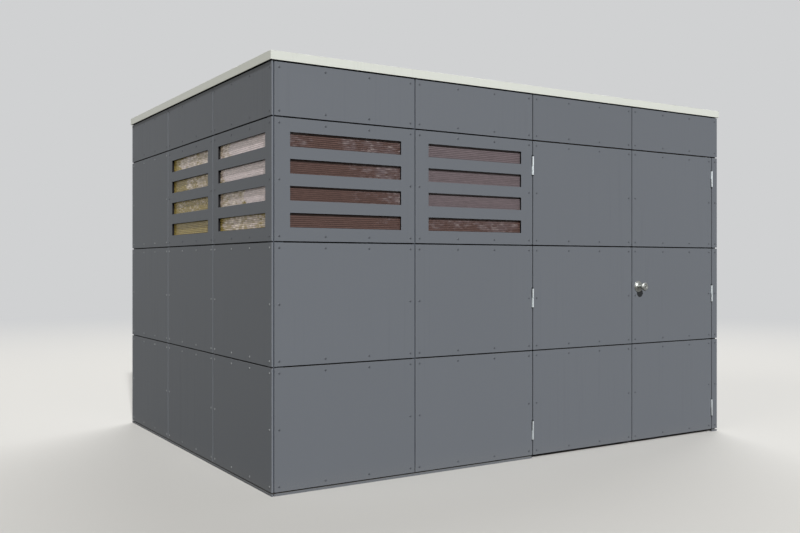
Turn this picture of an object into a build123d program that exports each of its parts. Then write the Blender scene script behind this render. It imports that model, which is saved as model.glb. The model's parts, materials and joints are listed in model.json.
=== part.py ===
from build123d import *
import os

# A flat-roofed garden shed clad in large flat boards on a timber frame.
# Millimetres, +Z up. The origin is on the ground at the middle of the plan.
# The front with the double door faces -Y and the window side faces -X.

# Overall size
shed_width = 3508.0
shed_depth = 2600.0

# Cladding boards, all of one thickness, with open joints between them
panel_thickness = 8.0
joint_gap = 8.0
ground_clearance = 20.0
main_row_height = 648.0
main_row_count = 3
fascia_height = 282.0
left_leaf_width = 864.0
right_leaf_width = 804.0
corner_strip_width = 54.0
fixed_column_count = 2
side_column_count = 3
back_column_count = 4

# Window slots in the upper main row
slot_count = 4
slot_height = 77.0
slot_end_margin = 72.5
front_slot_side_margin = 89.5
left_slot_side_margin = 83.0
gasket_thickness = 7.0
gasket_margin = 2.0
glazing_thickness = 10.0
glazing_clearance = 1.0
bead_width = 15.0
bead_depth = 15.0

# Timber frame
tape_thickness = 1.5
frame_depth = 60.0
stud_width = 90.0
rail_height = 90.0
rail_depth = 45.0
sill_height = 70.0
top_plate_height = 42.0
header_height = 108.0
door_post_width = 70.0
frame_setback = 4.0
header_clearance = 12.0
butt_gap = 0.5
tape_end_gap = 1.0
tape_trim_lap = 20.0

# Floor
floor_deck_thickness = 18.0
floor_joist_width = 45.0
floor_joist_count = 7
floor_edge_gap = 0.3

# Roof
kerb_width = 42.0
rafter_width = 42.0
rafter_count = 7
rafter_height = 110.0
roof_fall = 25.0
roof_deck_thickness = 18.0
membrane_thickness = 2.0
trim_shadow_gap = 6.0
trim_height = 47.0
trim_thickness = 3.0
trim_overhang = 10.0
trim_inner_cover = 6.0
trim_inner_lip = 22.0
mitre_gap = 0.5

# Edge profile on the ground under the fixed boards
base_trim_height = 12.0

# Door leaves
leaf_frame_depth = 36.0
leaf_stile_width = 95.0
leaf_rail_height = 90.0
stop_clearance = 6.0
stop_width = 20.0

# Lift-off hinges
hinge_end_distance = 154.0
hinge_count = 3
hinge_axis_proud = 3.0
hinge_barrel_radius = 6.75
hinge_barrel_length = 115.0
hinge_knuckle_gap = 1.5
hinge_pin_radius = 4.0
hinge_pin_clearance = 0.08
hinge_pin_end_gap = 4.0
hinge_plate_thickness = 3.0
hinge_plate_reach = 30.0
hinge_notch_half_width = 9.0
hinge_notch_end_gap = 7.0

# Door knob on the right leaf
knob_height = 1060.0
knob_backset = 60.0
rosette_radius = 37.5
rosette_thickness = 10.0
rosette_rim_thickness = 4.0
rosette_step_radius = 27.0
knob_reach = 66.0
knob_seat_gap = 1.0
knob_neck_radius = 12.5
knob_neck_length = 24.0
knob_radius = 28.5
knob_shoulder_length = 7.0
knob_face_radius = 22.0
knob_running_gap = 0.5
key_slot_length = 8.0
key_slot_width = 2.0
key_slot_depth = 3.0
turn_button_radius = 6.0
turn_button_height = 5.0
spindle_side = 8.0
spindle_hole_radius = 9.0

# Levels worked out from the rows of boards
corner_start = panel_thickness + joint_gap
row_pitch = main_row_height + joint_gap
row_bottoms = [ground_clearance + row * row_pitch for row in range(main_row_count)]
fascia_bottom = ground_clearance + main_row_count * row_pitch
fascia_top = fascia_bottom + fascia_height
row_joints = [bottom + row_pitch - joint_gap / 2 for bottom in row_bottoms]
door_head = fascia_bottom - joint_gap
trim_bottom = fascia_top + trim_shadow_gap
trim_top = trim_bottom + trim_height
kerb_top = trim_top - trim_thickness
header_bottom = door_head + header_clearance
top_plate_underside = header_bottom + header_height
top_plate_top = top_plate_underside + top_plate_height
slot_pitch = (main_row_height - 2 * slot_end_margin - slot_height) / (slot_count - 1)

# Depths behind the outer face of the boards
frame_front = panel_thickness + tape_thickness
frame_back = frame_front + frame_depth
kerb_back = frame_front + kerb_width
leaf_back = frame_front + leaf_frame_depth
stop_front = leaf_back + stop_clearance
glazing_front = panel_thickness + gasket_thickness
glazing_back = glazing_front + glazing_thickness

# Places along the front, measured from its left end as seen from outside
fixed_joints_width = (fixed_column_count + 2) * joint_gap
leaves_and_strip = left_leaf_width + right_leaf_width + corner_strip_width
fixed_width_total = shed_width - corner_start - fixed_joints_width - leaves_and_strip
fixed_column_width = fixed_width_total / fixed_column_count
front_fixed = [
    (corner_start + column * (fixed_column_width + joint_gap),
     corner_start + column * (fixed_column_width + joint_gap) + fixed_column_width)
    for column in range(fixed_column_count)
]
left_hinge_joint = front_fixed[-1][1] + joint_gap / 2
left_leaf_span = (left_hinge_joint + joint_gap / 2, left_hinge_joint + joint_gap / 2 + left_leaf_width)
meeting_joint = left_leaf_span[1] + joint_gap / 2
right_leaf_span = (meeting_joint + joint_gap / 2, meeting_joint + joint_gap / 2 + right_leaf_width)
right_hinge_joint = right_leaf_span[1] + joint_gap / 2
corner_strip_span = (right_hinge_joint + joint_gap / 2, shed_width)
knob_place = meeting_joint + knob_backset

# Each wall has its own measure: along it from its left end seen from outside,
# inwards from its outer face, and up. Each wall laps over the start of the next.
front_wall = Location((-shed_width / 2, -shed_depth / 2, 0))
right_wall = Location((shed_width / 2, -shed_depth / 2, 0), (0, 0, 90))
back_wall = Location((shed_width / 2, shed_depth / 2, 0), (0, 0, 180))
left_wall = Location((-shed_width / 2, shed_depth / 2, 0), (0, 0, 270))

frame_setting = joint_gap / 2 + frame_setback
right_post_reach = corner_strip_width - frame_setback


def block(wall, along, inward, up):
    """A plain block in one wall's measure, each side given as (from, to)."""
    size = [span[1] - span[0] for span in (along, inward, up)]
    middle = [(span[0] + span[1]) / 2 for span in (along, inward, up)]
    return wall * (Pos(*middle) * Box(*size))


def equal_columns(wall_length, count):
    """The boards' spans on a wall with equal columns."""
    width = (wall_length - corner_start - (count - 1) * joint_gap) / count
    starts = [corner_start + column * (width + joint_gap) for column in range(count)]
    return [(start, start + width) for start in starts]


def joints_between(spans):
    """The middles of the open joints between neighbouring boards."""
    return [(left[1] + right[0]) / 2 for left, right in zip(spans, spans[1:])]


side_columns = equal_columns(shed_depth, side_column_count)
back_columns = equal_columns(shed_width, back_column_count)
side_joints = joints_between(side_columns)
back_joints = joints_between(back_columns)
front_fixed_joints = joints_between(front_fixed)
row_spans = [(bottom, bottom + main_row_height) for bottom in row_bottoms]
fascia_span = (fascia_bottom, fascia_top)
window_row = main_row_count - 1


def panel(wall, along, up):
    """One flat cladding board."""
    return block(wall, along, (0, panel_thickness), up)


def slot_rises(up):
    """The heights of the window slots' middles on a board."""
    lowest = up[0] + slot_end_margin + slot_height / 2
    return [lowest + slot * slot_pitch for slot in range(slot_count)]


def window_panel(wall, along, up, side_margin):
    """A board with window slots cut through."""
    board = panel(wall, along, up)
    slot_along = (along[0] + side_margin, along[1] - side_margin)
    for rise in slot_rises(up):
        slot_up = (rise - slot_height / 2, rise + slot_height / 2)
        board = board - block(wall, slot_along, (-1, panel_thickness + 1), slot_up)
    return board


def window_infill(wall, along, up, side_margin, bay):
    """Gasket, sheet and beads that close the slots from behind, between studs and rails."""
    bay_up = (row_joints[window_row - 1] + rail_height / 2, row_joints[window_row] - rail_height / 2)
    sheet_along = (bay[0] + glazing_clearance, bay[1] - glazing_clearance)
    sheet_up = (bay_up[0] + glazing_clearance, bay_up[1] - glazing_clearance)
    gasket = block(wall, sheet_along, (panel_thickness, glazing_front), sheet_up)
    hole_along = (along[0] + side_margin - gasket_margin, along[1] - side_margin + gasket_margin)
    hole_half_height = slot_height / 2 + gasket_margin
    for rise in slot_rises(up):
        hole_up = (rise - hole_half_height, rise + hole_half_height)
        gasket = gasket - block(wall, hole_along, (0, glazing_front + 1), hole_up)
    sheet = block(wall, sheet_along, (glazing_front, glazing_back), sheet_up)
    bead_inward = (glazing_back, glazing_back + bead_depth)
    side_up = (bay_up[0] + bead_width + butt_gap, bay_up[1] - bead_width - butt_gap)
    beads = [
        block(wall, bay, bead_inward, (bay_up[0], bay_up[0] + bead_width)),
        block(wall, bay, bead_inward, (bay_up[1] - bead_width, bay_up[1])),
        block(wall, (bay[0], bay[0] + bead_width), bead_inward, side_up),
        block(wall, (bay[1] - bead_width, bay[1]), bead_inward, side_up),
    ]
    return gasket, sheet, beads


def bays_between(start, end, stud_middles):
    """The clear spans between a wall's posts and studs."""
    edges = [start]
    for middle in stud_middles:
        edges += [middle - stud_width / 2, middle + stud_width / 2]
    edges.append(end)
    return list(zip(edges[0::2], edges[1::2]))


door_post_span = (left_hinge_joint - frame_setting - door_post_width, left_hinge_joint - frame_setting)
front_bays = bays_between(frame_back, door_post_span[0], front_fixed_joints)
left_bays = bays_between(frame_back, shed_depth - frame_back, side_joints)
right_bays = bays_between(frame_back, shed_depth - frame_back, side_joints)
back_bays = bays_between(frame_back, shed_width - frame_back, back_joints)
front_right_post_span = (shed_width - right_post_reach, shed_width - frame_front)

nodes = {}

# Ground frame: sills under the walls, floor joists and deck inside them
sill_up = (0, sill_height)
frame_inward = (frame_front, frame_back)
side_between = (frame_back + butt_gap, shed_depth - frame_back - butt_gap)
nodes["sill_beams"] = [
    block(front_wall, (frame_front, door_post_span[1]), frame_inward, sill_up),
    block(front_wall, front_right_post_span, frame_inward, sill_up),
    block(back_wall, (frame_front, shed_width - frame_front), frame_inward, sill_up),
    block(left_wall, side_between, frame_inward, sill_up),
    block(right_wall, side_between, frame_inward, sill_up),
]
nodes["door_threshold"] = [
    block(front_wall, (door_post_span[1], front_right_post_span[0]), (stop_front, frame_back), sill_up)
]
floor_along = (frame_back + floor_edge_gap, shed_width - frame_back - floor_edge_gap)
floor_inward = (frame_back + floor_edge_gap, shed_depth - frame_back - floor_edge_gap)
joist_top = sill_height - floor_deck_thickness
joist_run = floor_inward[1] - floor_inward[0]
joist_step = (joist_run - floor_joist_width) / (floor_joist_count - 1)
nodes["floor_joists"] = [
    block(front_wall, floor_along,
          (floor_inward[0] + joist * joist_step, floor_inward[0] + joist * joist_step + floor_joist_width),
          (0, joist_top))
    for joist in range(floor_joist_count)
]
nodes["floor_deck"] = [block(front_wall, floor_along, floor_inward, (joist_top, sill_height))]

# Upright timbers
post_up = (sill_height, top_plate_underside)
post_square = (frame_front, frame_back)
nodes["corner_posts"] = [
    block(front_wall, post_square, post_square, post_up),
    block(back_wall, post_square, post_square, post_up),
    block(left_wall, post_square, post_square, post_up),
    block(front_wall, front_right_post_span, frame_inward, post_up),
]
nodes["door_post"] = [block(front_wall, door_post_span, frame_inward, post_up)]


def studs(wall, middles):
    """Studs centred behind the upright joints."""
    spans = [(middle - stud_width / 2, middle + stud_width / 2) for middle in middles]
    return [block(wall, span, frame_inward, post_up) for span in spans]


nodes["wall_studs"] = (
    studs(front_wall, front_fixed_joints) + studs(left_wall, side_joints)
    + studs(right_wall, side_joints) + studs(back_wall, back_joints)
)


def rails(wall, bays):
    """Rails behind the level joints, one in each bay between studs."""
    inward = (frame_front, frame_front + rail_depth)
    return [
        block(wall, bay, inward, (joint - rail_height / 2, joint + rail_height / 2))
        for joint in row_joints for bay in bays
    ]


nodes["front_wall_rails"] = rails(front_wall, front_bays)
nodes["left_wall_rails"] = rails(left_wall, left_bays)
nodes["right_wall_rails"] = rails(right_wall, right_bays)
nodes["back_wall_rails"] = rails(back_wall, back_bays)

# Door opening
opening_along = (door_post_span[1], front_right_post_span[0])
nodes["door_header"] = [
    block(front_wall, opening_along, frame_inward, (header_bottom, top_plate_underside))
]
stop_inward = (stop_front, frame_back)
jamb_stop_up = (sill_height, header_bottom)
head_stop_along = (opening_along[0] + stop_width + butt_gap, opening_along[1] - stop_width - butt_gap)
leaf_frame_top = door_head - frame_setback
nodes["door_stops"] = [
    block(front_wall, (opening_along[0], opening_along[0] + stop_width), stop_inward, jamb_stop_up),
    block(front_wall, (opening_along[1] - stop_width, opening_along[1]), stop_inward, jamb_stop_up),
    block(front_wall, head_stop_along, stop_inward, (leaf_frame_top - stop_width, header_bottom)),
]

# Roof frame
plate_up = (top_plate_underside, top_plate_top)
full_width = (frame_front, shed_width - frame_front)
nodes["top_plates"] = [
    block(front_wall, full_width, frame_inward, plate_up),
    block(back_wall, full_width, frame_inward, plate_up),
    block(left_wall, side_between, frame_inward, plate_up),
    block(right_wall, side_between, frame_inward, plate_up),
]
kerb_up = (top_plate_top, kerb_top)
kerb_inward = (frame_front, kerb_back)
kerb_between = (kerb_back + butt_gap, shed_depth - kerb_back - butt_gap)
nodes["roof_kerb"] = [
    block(front_wall, full_width, kerb_inward, kerb_up),
    block(back_wall, full_width, kerb_inward, kerb_up),
    block(left_wall, kerb_between, kerb_inward, kerb_up),
    block(right_wall, kerb_between, kerb_inward, kerb_up),
]

roof_front_y = -shed_depth / 2 + kerb_back
roof_back_y = shed_depth / 2 - kerb_back
roof_half_width = shed_width / 2 - kerb_back
rafter_top_front = top_plate_top + rafter_height


def fall_at(y):
    """How far the roof has come down from its front edge at this depth."""
    return roof_fall * (y - roof_front_y) / (roof_back_y - roof_front_y)


def sloped_layer(x_span, y_span, rise_from, rise_to):
    """A layer that follows the roof's fall, its rises counted from the rafters' top."""
    front_y, back_y = y_span
    corners = [
        (front_y, rafter_top_front - fall_at(front_y) + rise_from),
        (back_y, rafter_top_front - fall_at(back_y) + rise_from),
        (back_y, rafter_top_front - fall_at(back_y) + rise_to),
        (front_y, rafter_top_front - fall_at(front_y) + rise_to),
    ]
    side = Plane.YZ * make_face(Polyline(*corners, close=True))
    return Pos(x_span[0], 0, 0) * extrude(side, x_span[1] - x_span[0])


def rafter(x_start):
    """A rafter, level below and with the roof's fall on top."""
    corners = [
        (roof_front_y, top_plate_top),
        (roof_back_y, top_plate_top),
        (roof_back_y, rafter_top_front - roof_fall),
        (roof_front_y, rafter_top_front),
    ]
    side = Plane.YZ * make_face(Polyline(*corners, close=True))
    return Pos(x_start, 0, 0) * extrude(side, rafter_width)


rafter_step = (2 * roof_half_width - rafter_width) / (rafter_count - 1)
nodes["roof_rafters"] = [rafter(-roof_half_width + index * rafter_step) for index in range(rafter_count)]
nodes["roof_deck"] = [
    sloped_layer((-roof_half_width, roof_half_width), (roof_front_y, roof_back_y), 0, roof_deck_thickness)
]
membrane_top = roof_deck_thickness + membrane_thickness
upstand_x = roof_half_width - membrane_thickness


def upstand_side(x_span):
    """The membrane turned up against a side kerb."""
    front_y = roof_front_y + membrane_thickness + butt_gap
    back_y = roof_back_y - membrane_thickness - butt_gap
    corners = [
        (front_y, rafter_top_front - fall_at(front_y) + membrane_top + butt_gap),
        (back_y, rafter_top_front - fall_at(back_y) + membrane_top + butt_gap),
        (back_y, kerb_top),
        (front_y, kerb_top),
    ]
    side = Plane.YZ * make_face(Polyline(*corners, close=True))
    return Pos(x_span[0], 0, 0) * extrude(side, x_span[1] - x_span[0])


def upstand_end(wall, fall):
    """The membrane turned up against the front or back kerb."""
    bottom = rafter_top_front - fall + membrane_top + butt_gap
    along = (kerb_back, shed_width - kerb_back)
    return block(wall, along, (kerb_back, kerb_back + membrane_thickness), (bottom, kerb_top))


nodes["roof_membrane"] = [
    sloped_layer((-roof_half_width, roof_half_width), (roof_front_y, roof_back_y),
                 roof_deck_thickness, membrane_top),
    upstand_side((-roof_half_width, -upstand_x)),
    upstand_side((upstand_x, roof_half_width)),
    upstand_end(front_wall, 0),
    upstand_end(back_wall, roof_fall),
]


def mitred_strip(length, inward, up):
    """A strip round the roof's edge, cut at 45 degrees where it meets its neighbours."""
    outer, inner = inward
    corners = [
        (outer + mitre_gap, outer),
        (length - outer - mitre_gap, outer),
        (length - inner - mitre_gap, inner),
        (inner + mitre_gap, inner),
    ]
    plan = make_face(Polyline(*corners, close=True))
    return Pos(0, 0, up[0]) * extrude(plan, up[1] - up[0])


def roof_trim(wall, length):
    """The folded metal edge: a face, a top over the kerb and a lip turned down inside."""
    trim_inner = kerb_back + membrane_thickness + trim_inner_cover
    face_inward = (-trim_overhang, -trim_overhang + trim_thickness)
    lip_inward = (trim_inner - trim_thickness, trim_inner)
    face = mitred_strip(length, face_inward, (trim_bottom, trim_top))
    top = mitred_strip(length, (-trim_overhang, trim_inner), (kerb_top, trim_top))
    lip = mitred_strip(length, lip_inward, (trim_top - trim_inner_lip, trim_top))
    return wall * (face + top + lip)


nodes["roof_trim"] = [
    roof_trim(front_wall, shed_width),
    roof_trim(right_wall, shed_depth),
    roof_trim(back_wall, shed_width),
    roof_trim(left_wall, shed_depth),
]

# Cladding
front_spans = front_fixed + [left_leaf_span, (right_leaf_span[0], shed_width)]
nodes["front_fascia_panels"] = [panel(front_wall, span, fascia_span) for span in front_spans]
nodes["front_window_panels"] = [
    window_panel(front_wall, span, row_spans[window_row], front_slot_side_margin) for span in front_fixed
]
nodes["front_wall_panels"] = [
    panel(front_wall, span, row) for row in row_spans[:window_row] for span in front_fixed
]
nodes["corner_strip_panels"] = [panel(front_wall, corner_strip_span, row) for row in row_spans]

# On the left side the board nearest the back has no window
left_window_columns = side_columns[1:]
nodes["left_fascia_panels"] = [panel(left_wall, span, fascia_span) for span in side_columns]
nodes["left_window_panels"] = [
    window_panel(left_wall, span, row_spans[window_row], left_slot_side_margin)
    for span in left_window_columns
]
nodes["left_wall_panels"] = [
    panel(left_wall, span, row) for row in row_spans[:window_row] for span in side_columns
] + [panel(left_wall, side_columns[0], row_spans[window_row])]
nodes["right_wall_panels"] = [
    panel(right_wall, span, row) for row in row_spans + [fascia_span] for span in side_columns
]
nodes["back_wall_panels"] = [
    panel(back_wall, span, row) for row in row_spans + [fascia_span] for span in back_columns
]

infills = [
    window_infill(front_wall, span, row_spans[window_row], front_slot_side_margin, bay)
    for span, bay in zip(front_fixed, front_bays)
] + [
    window_infill(left_wall, span, row_spans[window_row], left_slot_side_margin, bay)
    for span, bay in zip(left_window_columns, left_bays[1:])
]
nodes["window_gaskets"] = [gasket for gasket, sheet, beads in infills]
nodes["window_glazing"] = [sheet for gasket, sheet, beads in infills]
nodes["glazing_beads"] = [bead for gasket, sheet, beads in infills for bead in beads]

base_up = (0, base_trim_height)
base_inward = (0, frame_front)
nodes["base_trim"] = [
    block(front_wall, (corner_start, door_post_span[1]), base_inward, base_up),
    block(front_wall, (corner_strip_span[0], shed_width), base_inward, base_up),
    block(right_wall, (corner_start, shed_depth), base_inward, base_up),
    block(back_wall, (corner_start, shed_width), base_inward, base_up),
    block(left_wall, (corner_start, shed_depth), base_inward, base_up),
]

# Black tape between boards and timbers, which darkens the open joints
tape_inward = (panel_thickness, frame_front)


def upright_tape(wall, span, up):
    """A tape up one timber."""
    return block(wall, span, tape_inward, up)


def level_tapes(wall, bays, levels):
    """Tapes along the level timbers between the upright ones."""
    tapes = []
    for up in levels:
        for bay in bays:
            tapes.append(block(wall, (bay[0] + butt_gap, bay[1] - butt_gap), tape_inward, up))
    return tapes


rail_levels = [(joint - rail_height / 2, joint + rail_height / 2) for joint in row_joints]
sill_level = (ground_clearance, sill_height)
tape_top = trim_bottom + tape_trim_lap
kerb_level = (top_plate_top, tape_top)
wall_levels = [sill_level] + rail_levels + [kerb_level]
tape_up = (ground_clearance, tape_top)


def wall_tapes(wall, start, end, stud_middles, bays):
    """All the tape on a wall from its first post to its last."""
    tapes = [upright_tape(wall, (frame_front + tape_end_gap, frame_back), tape_up)]
    for middle in stud_middles:
        tapes.append(upright_tape(wall, (middle - stud_width / 2, middle + stud_width / 2), tape_up))
    tapes.append(upright_tape(wall, (start, end), tape_up))
    return tapes + level_tapes(wall, bays, wall_levels)


side_end = shed_depth - frame_front - tape_end_gap
back_end = shed_width - frame_front - tape_end_gap
head_tape_along = (opening_along[0] + butt_gap, opening_along[1] - butt_gap)
right_post_tape_along = (front_right_post_span[0], front_right_post_span[1] - tape_end_gap)
nodes["joint_tape"] = (
    wall_tapes(front_wall, door_post_span[0], door_post_span[1], front_fixed_joints, front_bays)
    + [
        upright_tape(front_wall, right_post_tape_along, tape_up),
        block(front_wall, head_tape_along, tape_inward, (header_bottom, top_plate_underside)),
        block(front_wall, head_tape_along, tape_inward, kerb_level),
    ]
    + wall_tapes(left_wall, shed_depth - frame_back, side_end, side_joints, left_bays)
    + wall_tapes(right_wall, shed_depth - frame_back, side_end, side_joints, right_bays)
    + wall_tapes(back_wall, shed_width - frame_back, back_end, back_joints, back_bays)
)

# Lift-off hinges: the lower knuckle and its pin stand on the post, the upper one lifts off
door_bottom = row_bottoms[0]
first_hinge = door_bottom + hinge_end_distance
last_hinge = door_head - hinge_end_distance
hinge_step = (last_hinge - first_hinge) / (hinge_count - 1)
hinge_heights = [first_hinge + index * hinge_step for index in range(hinge_count)]
knuckle_length = (hinge_barrel_length - hinge_knuckle_gap) / 2
plate_near = frame_setting - hinge_plate_thickness
standing = (Align.CENTER, Align.CENTER, Align.MIN)


def knuckle(side):
    """A hinge knuckle standing on z = 0, with its plate running back along the timber on the given side."""
    middle_along = side * (plate_near + hinge_plate_thickness / 2)
    length = hinge_axis_proud + frame_front + hinge_plate_reach
    plate = Box(hinge_plate_thickness, length, knuckle_length)
    barrel = Cylinder(hinge_barrel_radius, knuckle_length, align=standing)
    return barrel + Pos(middle_along, length / 2, knuckle_length / 2) * plate


def fixed_hinge_half(side):
    """Lower knuckle, plate and pin in one piece, centred on the hinge axis."""
    lower = Pos(0, 0, -knuckle_length) * knuckle(side)
    pin = Cylinder(hinge_pin_radius, hinge_knuckle_gap + knuckle_length - hinge_pin_end_gap, align=standing)
    return Pos(0, 0, -hinge_knuckle_gap / 2) * (lower + pin)


def moving_hinge_half(side):
    """Upper knuckle with its blind bore, and its plate."""
    bore_depth = knuckle_length - hinge_pin_end_gap / 2
    bore = Cylinder(hinge_pin_radius + hinge_pin_clearance, bore_depth, align=standing)
    return Pos(0, 0, hinge_knuckle_gap / 2) * (knuckle(side) - bore)


def at_hinges(wall_place, half):
    """The same hinge half at each hinge height."""
    return [
        front_wall * (Pos(wall_place, -hinge_axis_proud, height) * half) for height in hinge_heights
    ]


nodes["post_hinge_halves"] = (
    at_hinges(left_hinge_joint, fixed_hinge_half(-1)) + at_hinges(right_hinge_joint, fixed_hinge_half(1))
)
nodes["left_leaf_hinges"] = at_hinges(left_hinge_joint, moving_hinge_half(1))
nodes["right_leaf_hinges"] = at_hinges(right_hinge_joint, moving_hinge_half(-1))


def with_hinge_notches(boards, hinge_place):
    """Boards with room cut out for the barrels that stand in the joint."""
    half_height = hinge_barrel_length / 2 + hinge_notch_end_gap
    notched = []
    for board in boards:
        for height in hinge_heights:
            along = (hinge_place - hinge_notch_half_width, hinge_place + hinge_notch_half_width)
            up = (height - half_height, height + half_height)
            board = board - block(front_wall, along, (-1, panel_thickness + 1), up)
        notched.append(board)
    return notched


for name in ("front_wall_panels", "front_window_panels"):
    nodes[name] = with_hinge_notches(nodes[name], left_hinge_joint)
nodes["corner_strip_panels"] = with_hinge_notches(nodes["corner_strip_panels"], right_hinge_joint)


# Door leaves
leaf_frame_bottom = door_bottom + frame_setback
leaf_frame_up = (leaf_frame_bottom, leaf_frame_top)
leaf_frame_inward = (frame_front, leaf_back)
leaf_rail_levels = (
    [(leaf_frame_bottom, leaf_frame_bottom + leaf_rail_height)]
    + [(joint - leaf_rail_height / 2, joint + leaf_rail_height / 2) for joint in row_joints[:-1]]
    + [(leaf_frame_top - leaf_rail_height, leaf_frame_top)]
)


def door_leaf(span):
    """Stiles, rails, boards and tape of one leaf."""
    left, right = span[0] + frame_setback, span[1] - frame_setback
    stile_spans = [(left, left + leaf_stile_width), (right - leaf_stile_width, right)]
    between = (stile_spans[0][1], stile_spans[1][0])
    stiles = [block(front_wall, stile, leaf_frame_inward, leaf_frame_up) for stile in stile_spans]
    leaf_rails = [block(front_wall, between, leaf_frame_inward, level) for level in leaf_rail_levels]
    boards = [panel(front_wall, span, row) for row in row_spans]
    tapes = [upright_tape(front_wall, stile, leaf_frame_up) for stile in stile_spans]
    tapes += level_tapes(front_wall, [between], leaf_rail_levels)
    return stiles, leaf_rails, boards, tapes


def spindle_bore(thickness_span):
    """The hole for the knob's spindle through one layer of the right leaf."""
    start, end = thickness_span
    hole = Rot(90, 0, 0) * Cylinder(spindle_hole_radius, end - start + 2)
    return front_wall * (Pos(knob_place, (start + end) / 2, knob_height) * hole)


stiles, leaf_rails, boards, tapes = door_leaf(left_leaf_span)
nodes["left_leaf_stiles"] = stiles
nodes["left_leaf_rails"] = leaf_rails
nodes["left_leaf_panels"] = with_hinge_notches(boards, left_hinge_joint)
nodes["left_leaf_tape"] = tapes

stiles, leaf_rails, boards, tapes = door_leaf(right_leaf_span)
leaf_bore = spindle_bore((0, leaf_back))
nodes["right_leaf_stiles"] = [stiles[0] - leaf_bore, stiles[1]]
nodes["right_leaf_rails"] = leaf_rails
nodes["right_leaf_panels"] = [board - leaf_bore for board in with_hinge_notches(boards, right_hinge_joint)]
nodes["right_leaf_tape"] = [tapes[0] - leaf_bore] + tapes[1:]


# Door knob, drawn with its radius along X and its reach along Y, and turned about Y
def rosette():
    """The stepped round plate behind a knob, with room for the neck."""
    bore = knob_neck_radius + knob_running_gap
    slope_top = rosette_step_radius - (rosette_thickness - rosette_rim_thickness)
    outline = Polyline(
        (bore, 0),
        (rosette_radius, 0),
        (rosette_radius, rosette_rim_thickness),
        (rosette_step_radius, rosette_rim_thickness),
        (slope_top, rosette_thickness),
        (bore, rosette_thickness),
        close=True,
    )
    return revolve(make_face(outline), Axis.Y)


def knob():
    """A conical knob: narrow at the door, widest near its face, with a sloping shoulder round the face."""
    outline = Polyline(
        (0, knob_seat_gap),
        (knob_neck_radius, knob_seat_gap),
        (knob_neck_radius, knob_neck_length),
        (knob_radius, knob_reach - knob_shoulder_length),
        (knob_face_radius, knob_reach),
        (0, knob_reach),
        close=True,
    )
    return revolve(make_face(outline), Axis.Y)


outward = Location((knob_place, 0, knob_height), (0, 0, 180))
inward = Location((knob_place, leaf_back, knob_height))
key_slot = Pos(0, knob_reach, 0) * Box(key_slot_width, 2 * key_slot_depth, key_slot_length)
button = Rot(-90, 0, 0) * Cylinder(turn_button_radius, turn_button_height, align=standing)
turn_button = Pos(0, knob_reach, 0) * button
nodes["knob_rosettes"] = [front_wall * (outward * rosette()), front_wall * (inward * rosette())]
nodes["outer_knob"] = [front_wall * (outward * (knob() - key_slot))]
nodes["inner_knob"] = [front_wall * (inward * (knob() + turn_button))]
spindle = Box(spindle_side, leaf_back + 2 * knob_seat_gap, spindle_side)
nodes["knob_spindle"] = [front_wall * (Pos(knob_place, leaf_back / 2, knob_height) * spindle)]

os.makedirs("parts", exist_ok=True)
for name, solids in nodes.items():
    pieces = [solid for shape in solids for solid in shape.solids()]
    shape = pieces[0] if len(pieces) == 1 else Compound(children=pieces)
    export_step(shape, f"parts/{name}.step")
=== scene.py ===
import json
import math
import random
from contextlib import contextmanager

import bpy
from mathutils import Matrix, Vector

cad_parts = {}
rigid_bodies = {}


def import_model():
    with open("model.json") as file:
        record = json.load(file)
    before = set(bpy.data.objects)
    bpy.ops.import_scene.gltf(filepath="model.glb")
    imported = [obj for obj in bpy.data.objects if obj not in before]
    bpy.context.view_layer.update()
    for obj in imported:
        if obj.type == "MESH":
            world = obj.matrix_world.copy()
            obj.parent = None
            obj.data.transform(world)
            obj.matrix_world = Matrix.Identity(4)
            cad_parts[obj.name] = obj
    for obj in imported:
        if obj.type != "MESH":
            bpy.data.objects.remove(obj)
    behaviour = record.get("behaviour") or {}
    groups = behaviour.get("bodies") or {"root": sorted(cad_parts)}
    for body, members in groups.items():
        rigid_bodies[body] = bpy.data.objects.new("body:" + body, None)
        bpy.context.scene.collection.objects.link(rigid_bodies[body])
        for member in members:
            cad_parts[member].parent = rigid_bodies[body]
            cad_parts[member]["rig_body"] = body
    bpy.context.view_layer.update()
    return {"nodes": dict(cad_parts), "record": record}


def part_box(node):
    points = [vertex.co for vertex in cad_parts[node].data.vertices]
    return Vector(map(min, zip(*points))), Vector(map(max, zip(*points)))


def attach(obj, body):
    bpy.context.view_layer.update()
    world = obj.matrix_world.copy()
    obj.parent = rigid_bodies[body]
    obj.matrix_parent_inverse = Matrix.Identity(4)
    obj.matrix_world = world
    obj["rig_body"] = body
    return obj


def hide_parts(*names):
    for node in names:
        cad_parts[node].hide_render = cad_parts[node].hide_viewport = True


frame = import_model()

# The garden shed's finish: boards, screws, windows, timber, roof, hinges and knob, in metres.
MM = 0.001
FRONT, RIGHT, BACK, LEFT = Vector((0, -1, 0)), Vector((1, 0, 0)), Vector((0, 1, 0)), Vector((-1, 0, 0))

# Face screws of the boards
SCREW_EDGE_INSET = 27 * MM
SCREW_HEAD_RADIUS = 6.0 * MM
SCREW_HEAD_HEIGHT = 2.4 * MM
SCREWS_ACROSS = 4
STRIP_SCREW_INSET = 24 * MM
LOW_BOARD = 0.4
NARROW_BOARD = 0.1
SLOT_MARGIN = 10 * MM

# Twin-wall window sheets
WEB_PITCH = 10.5 * MM
PILLOW = 0.9 * MM

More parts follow.
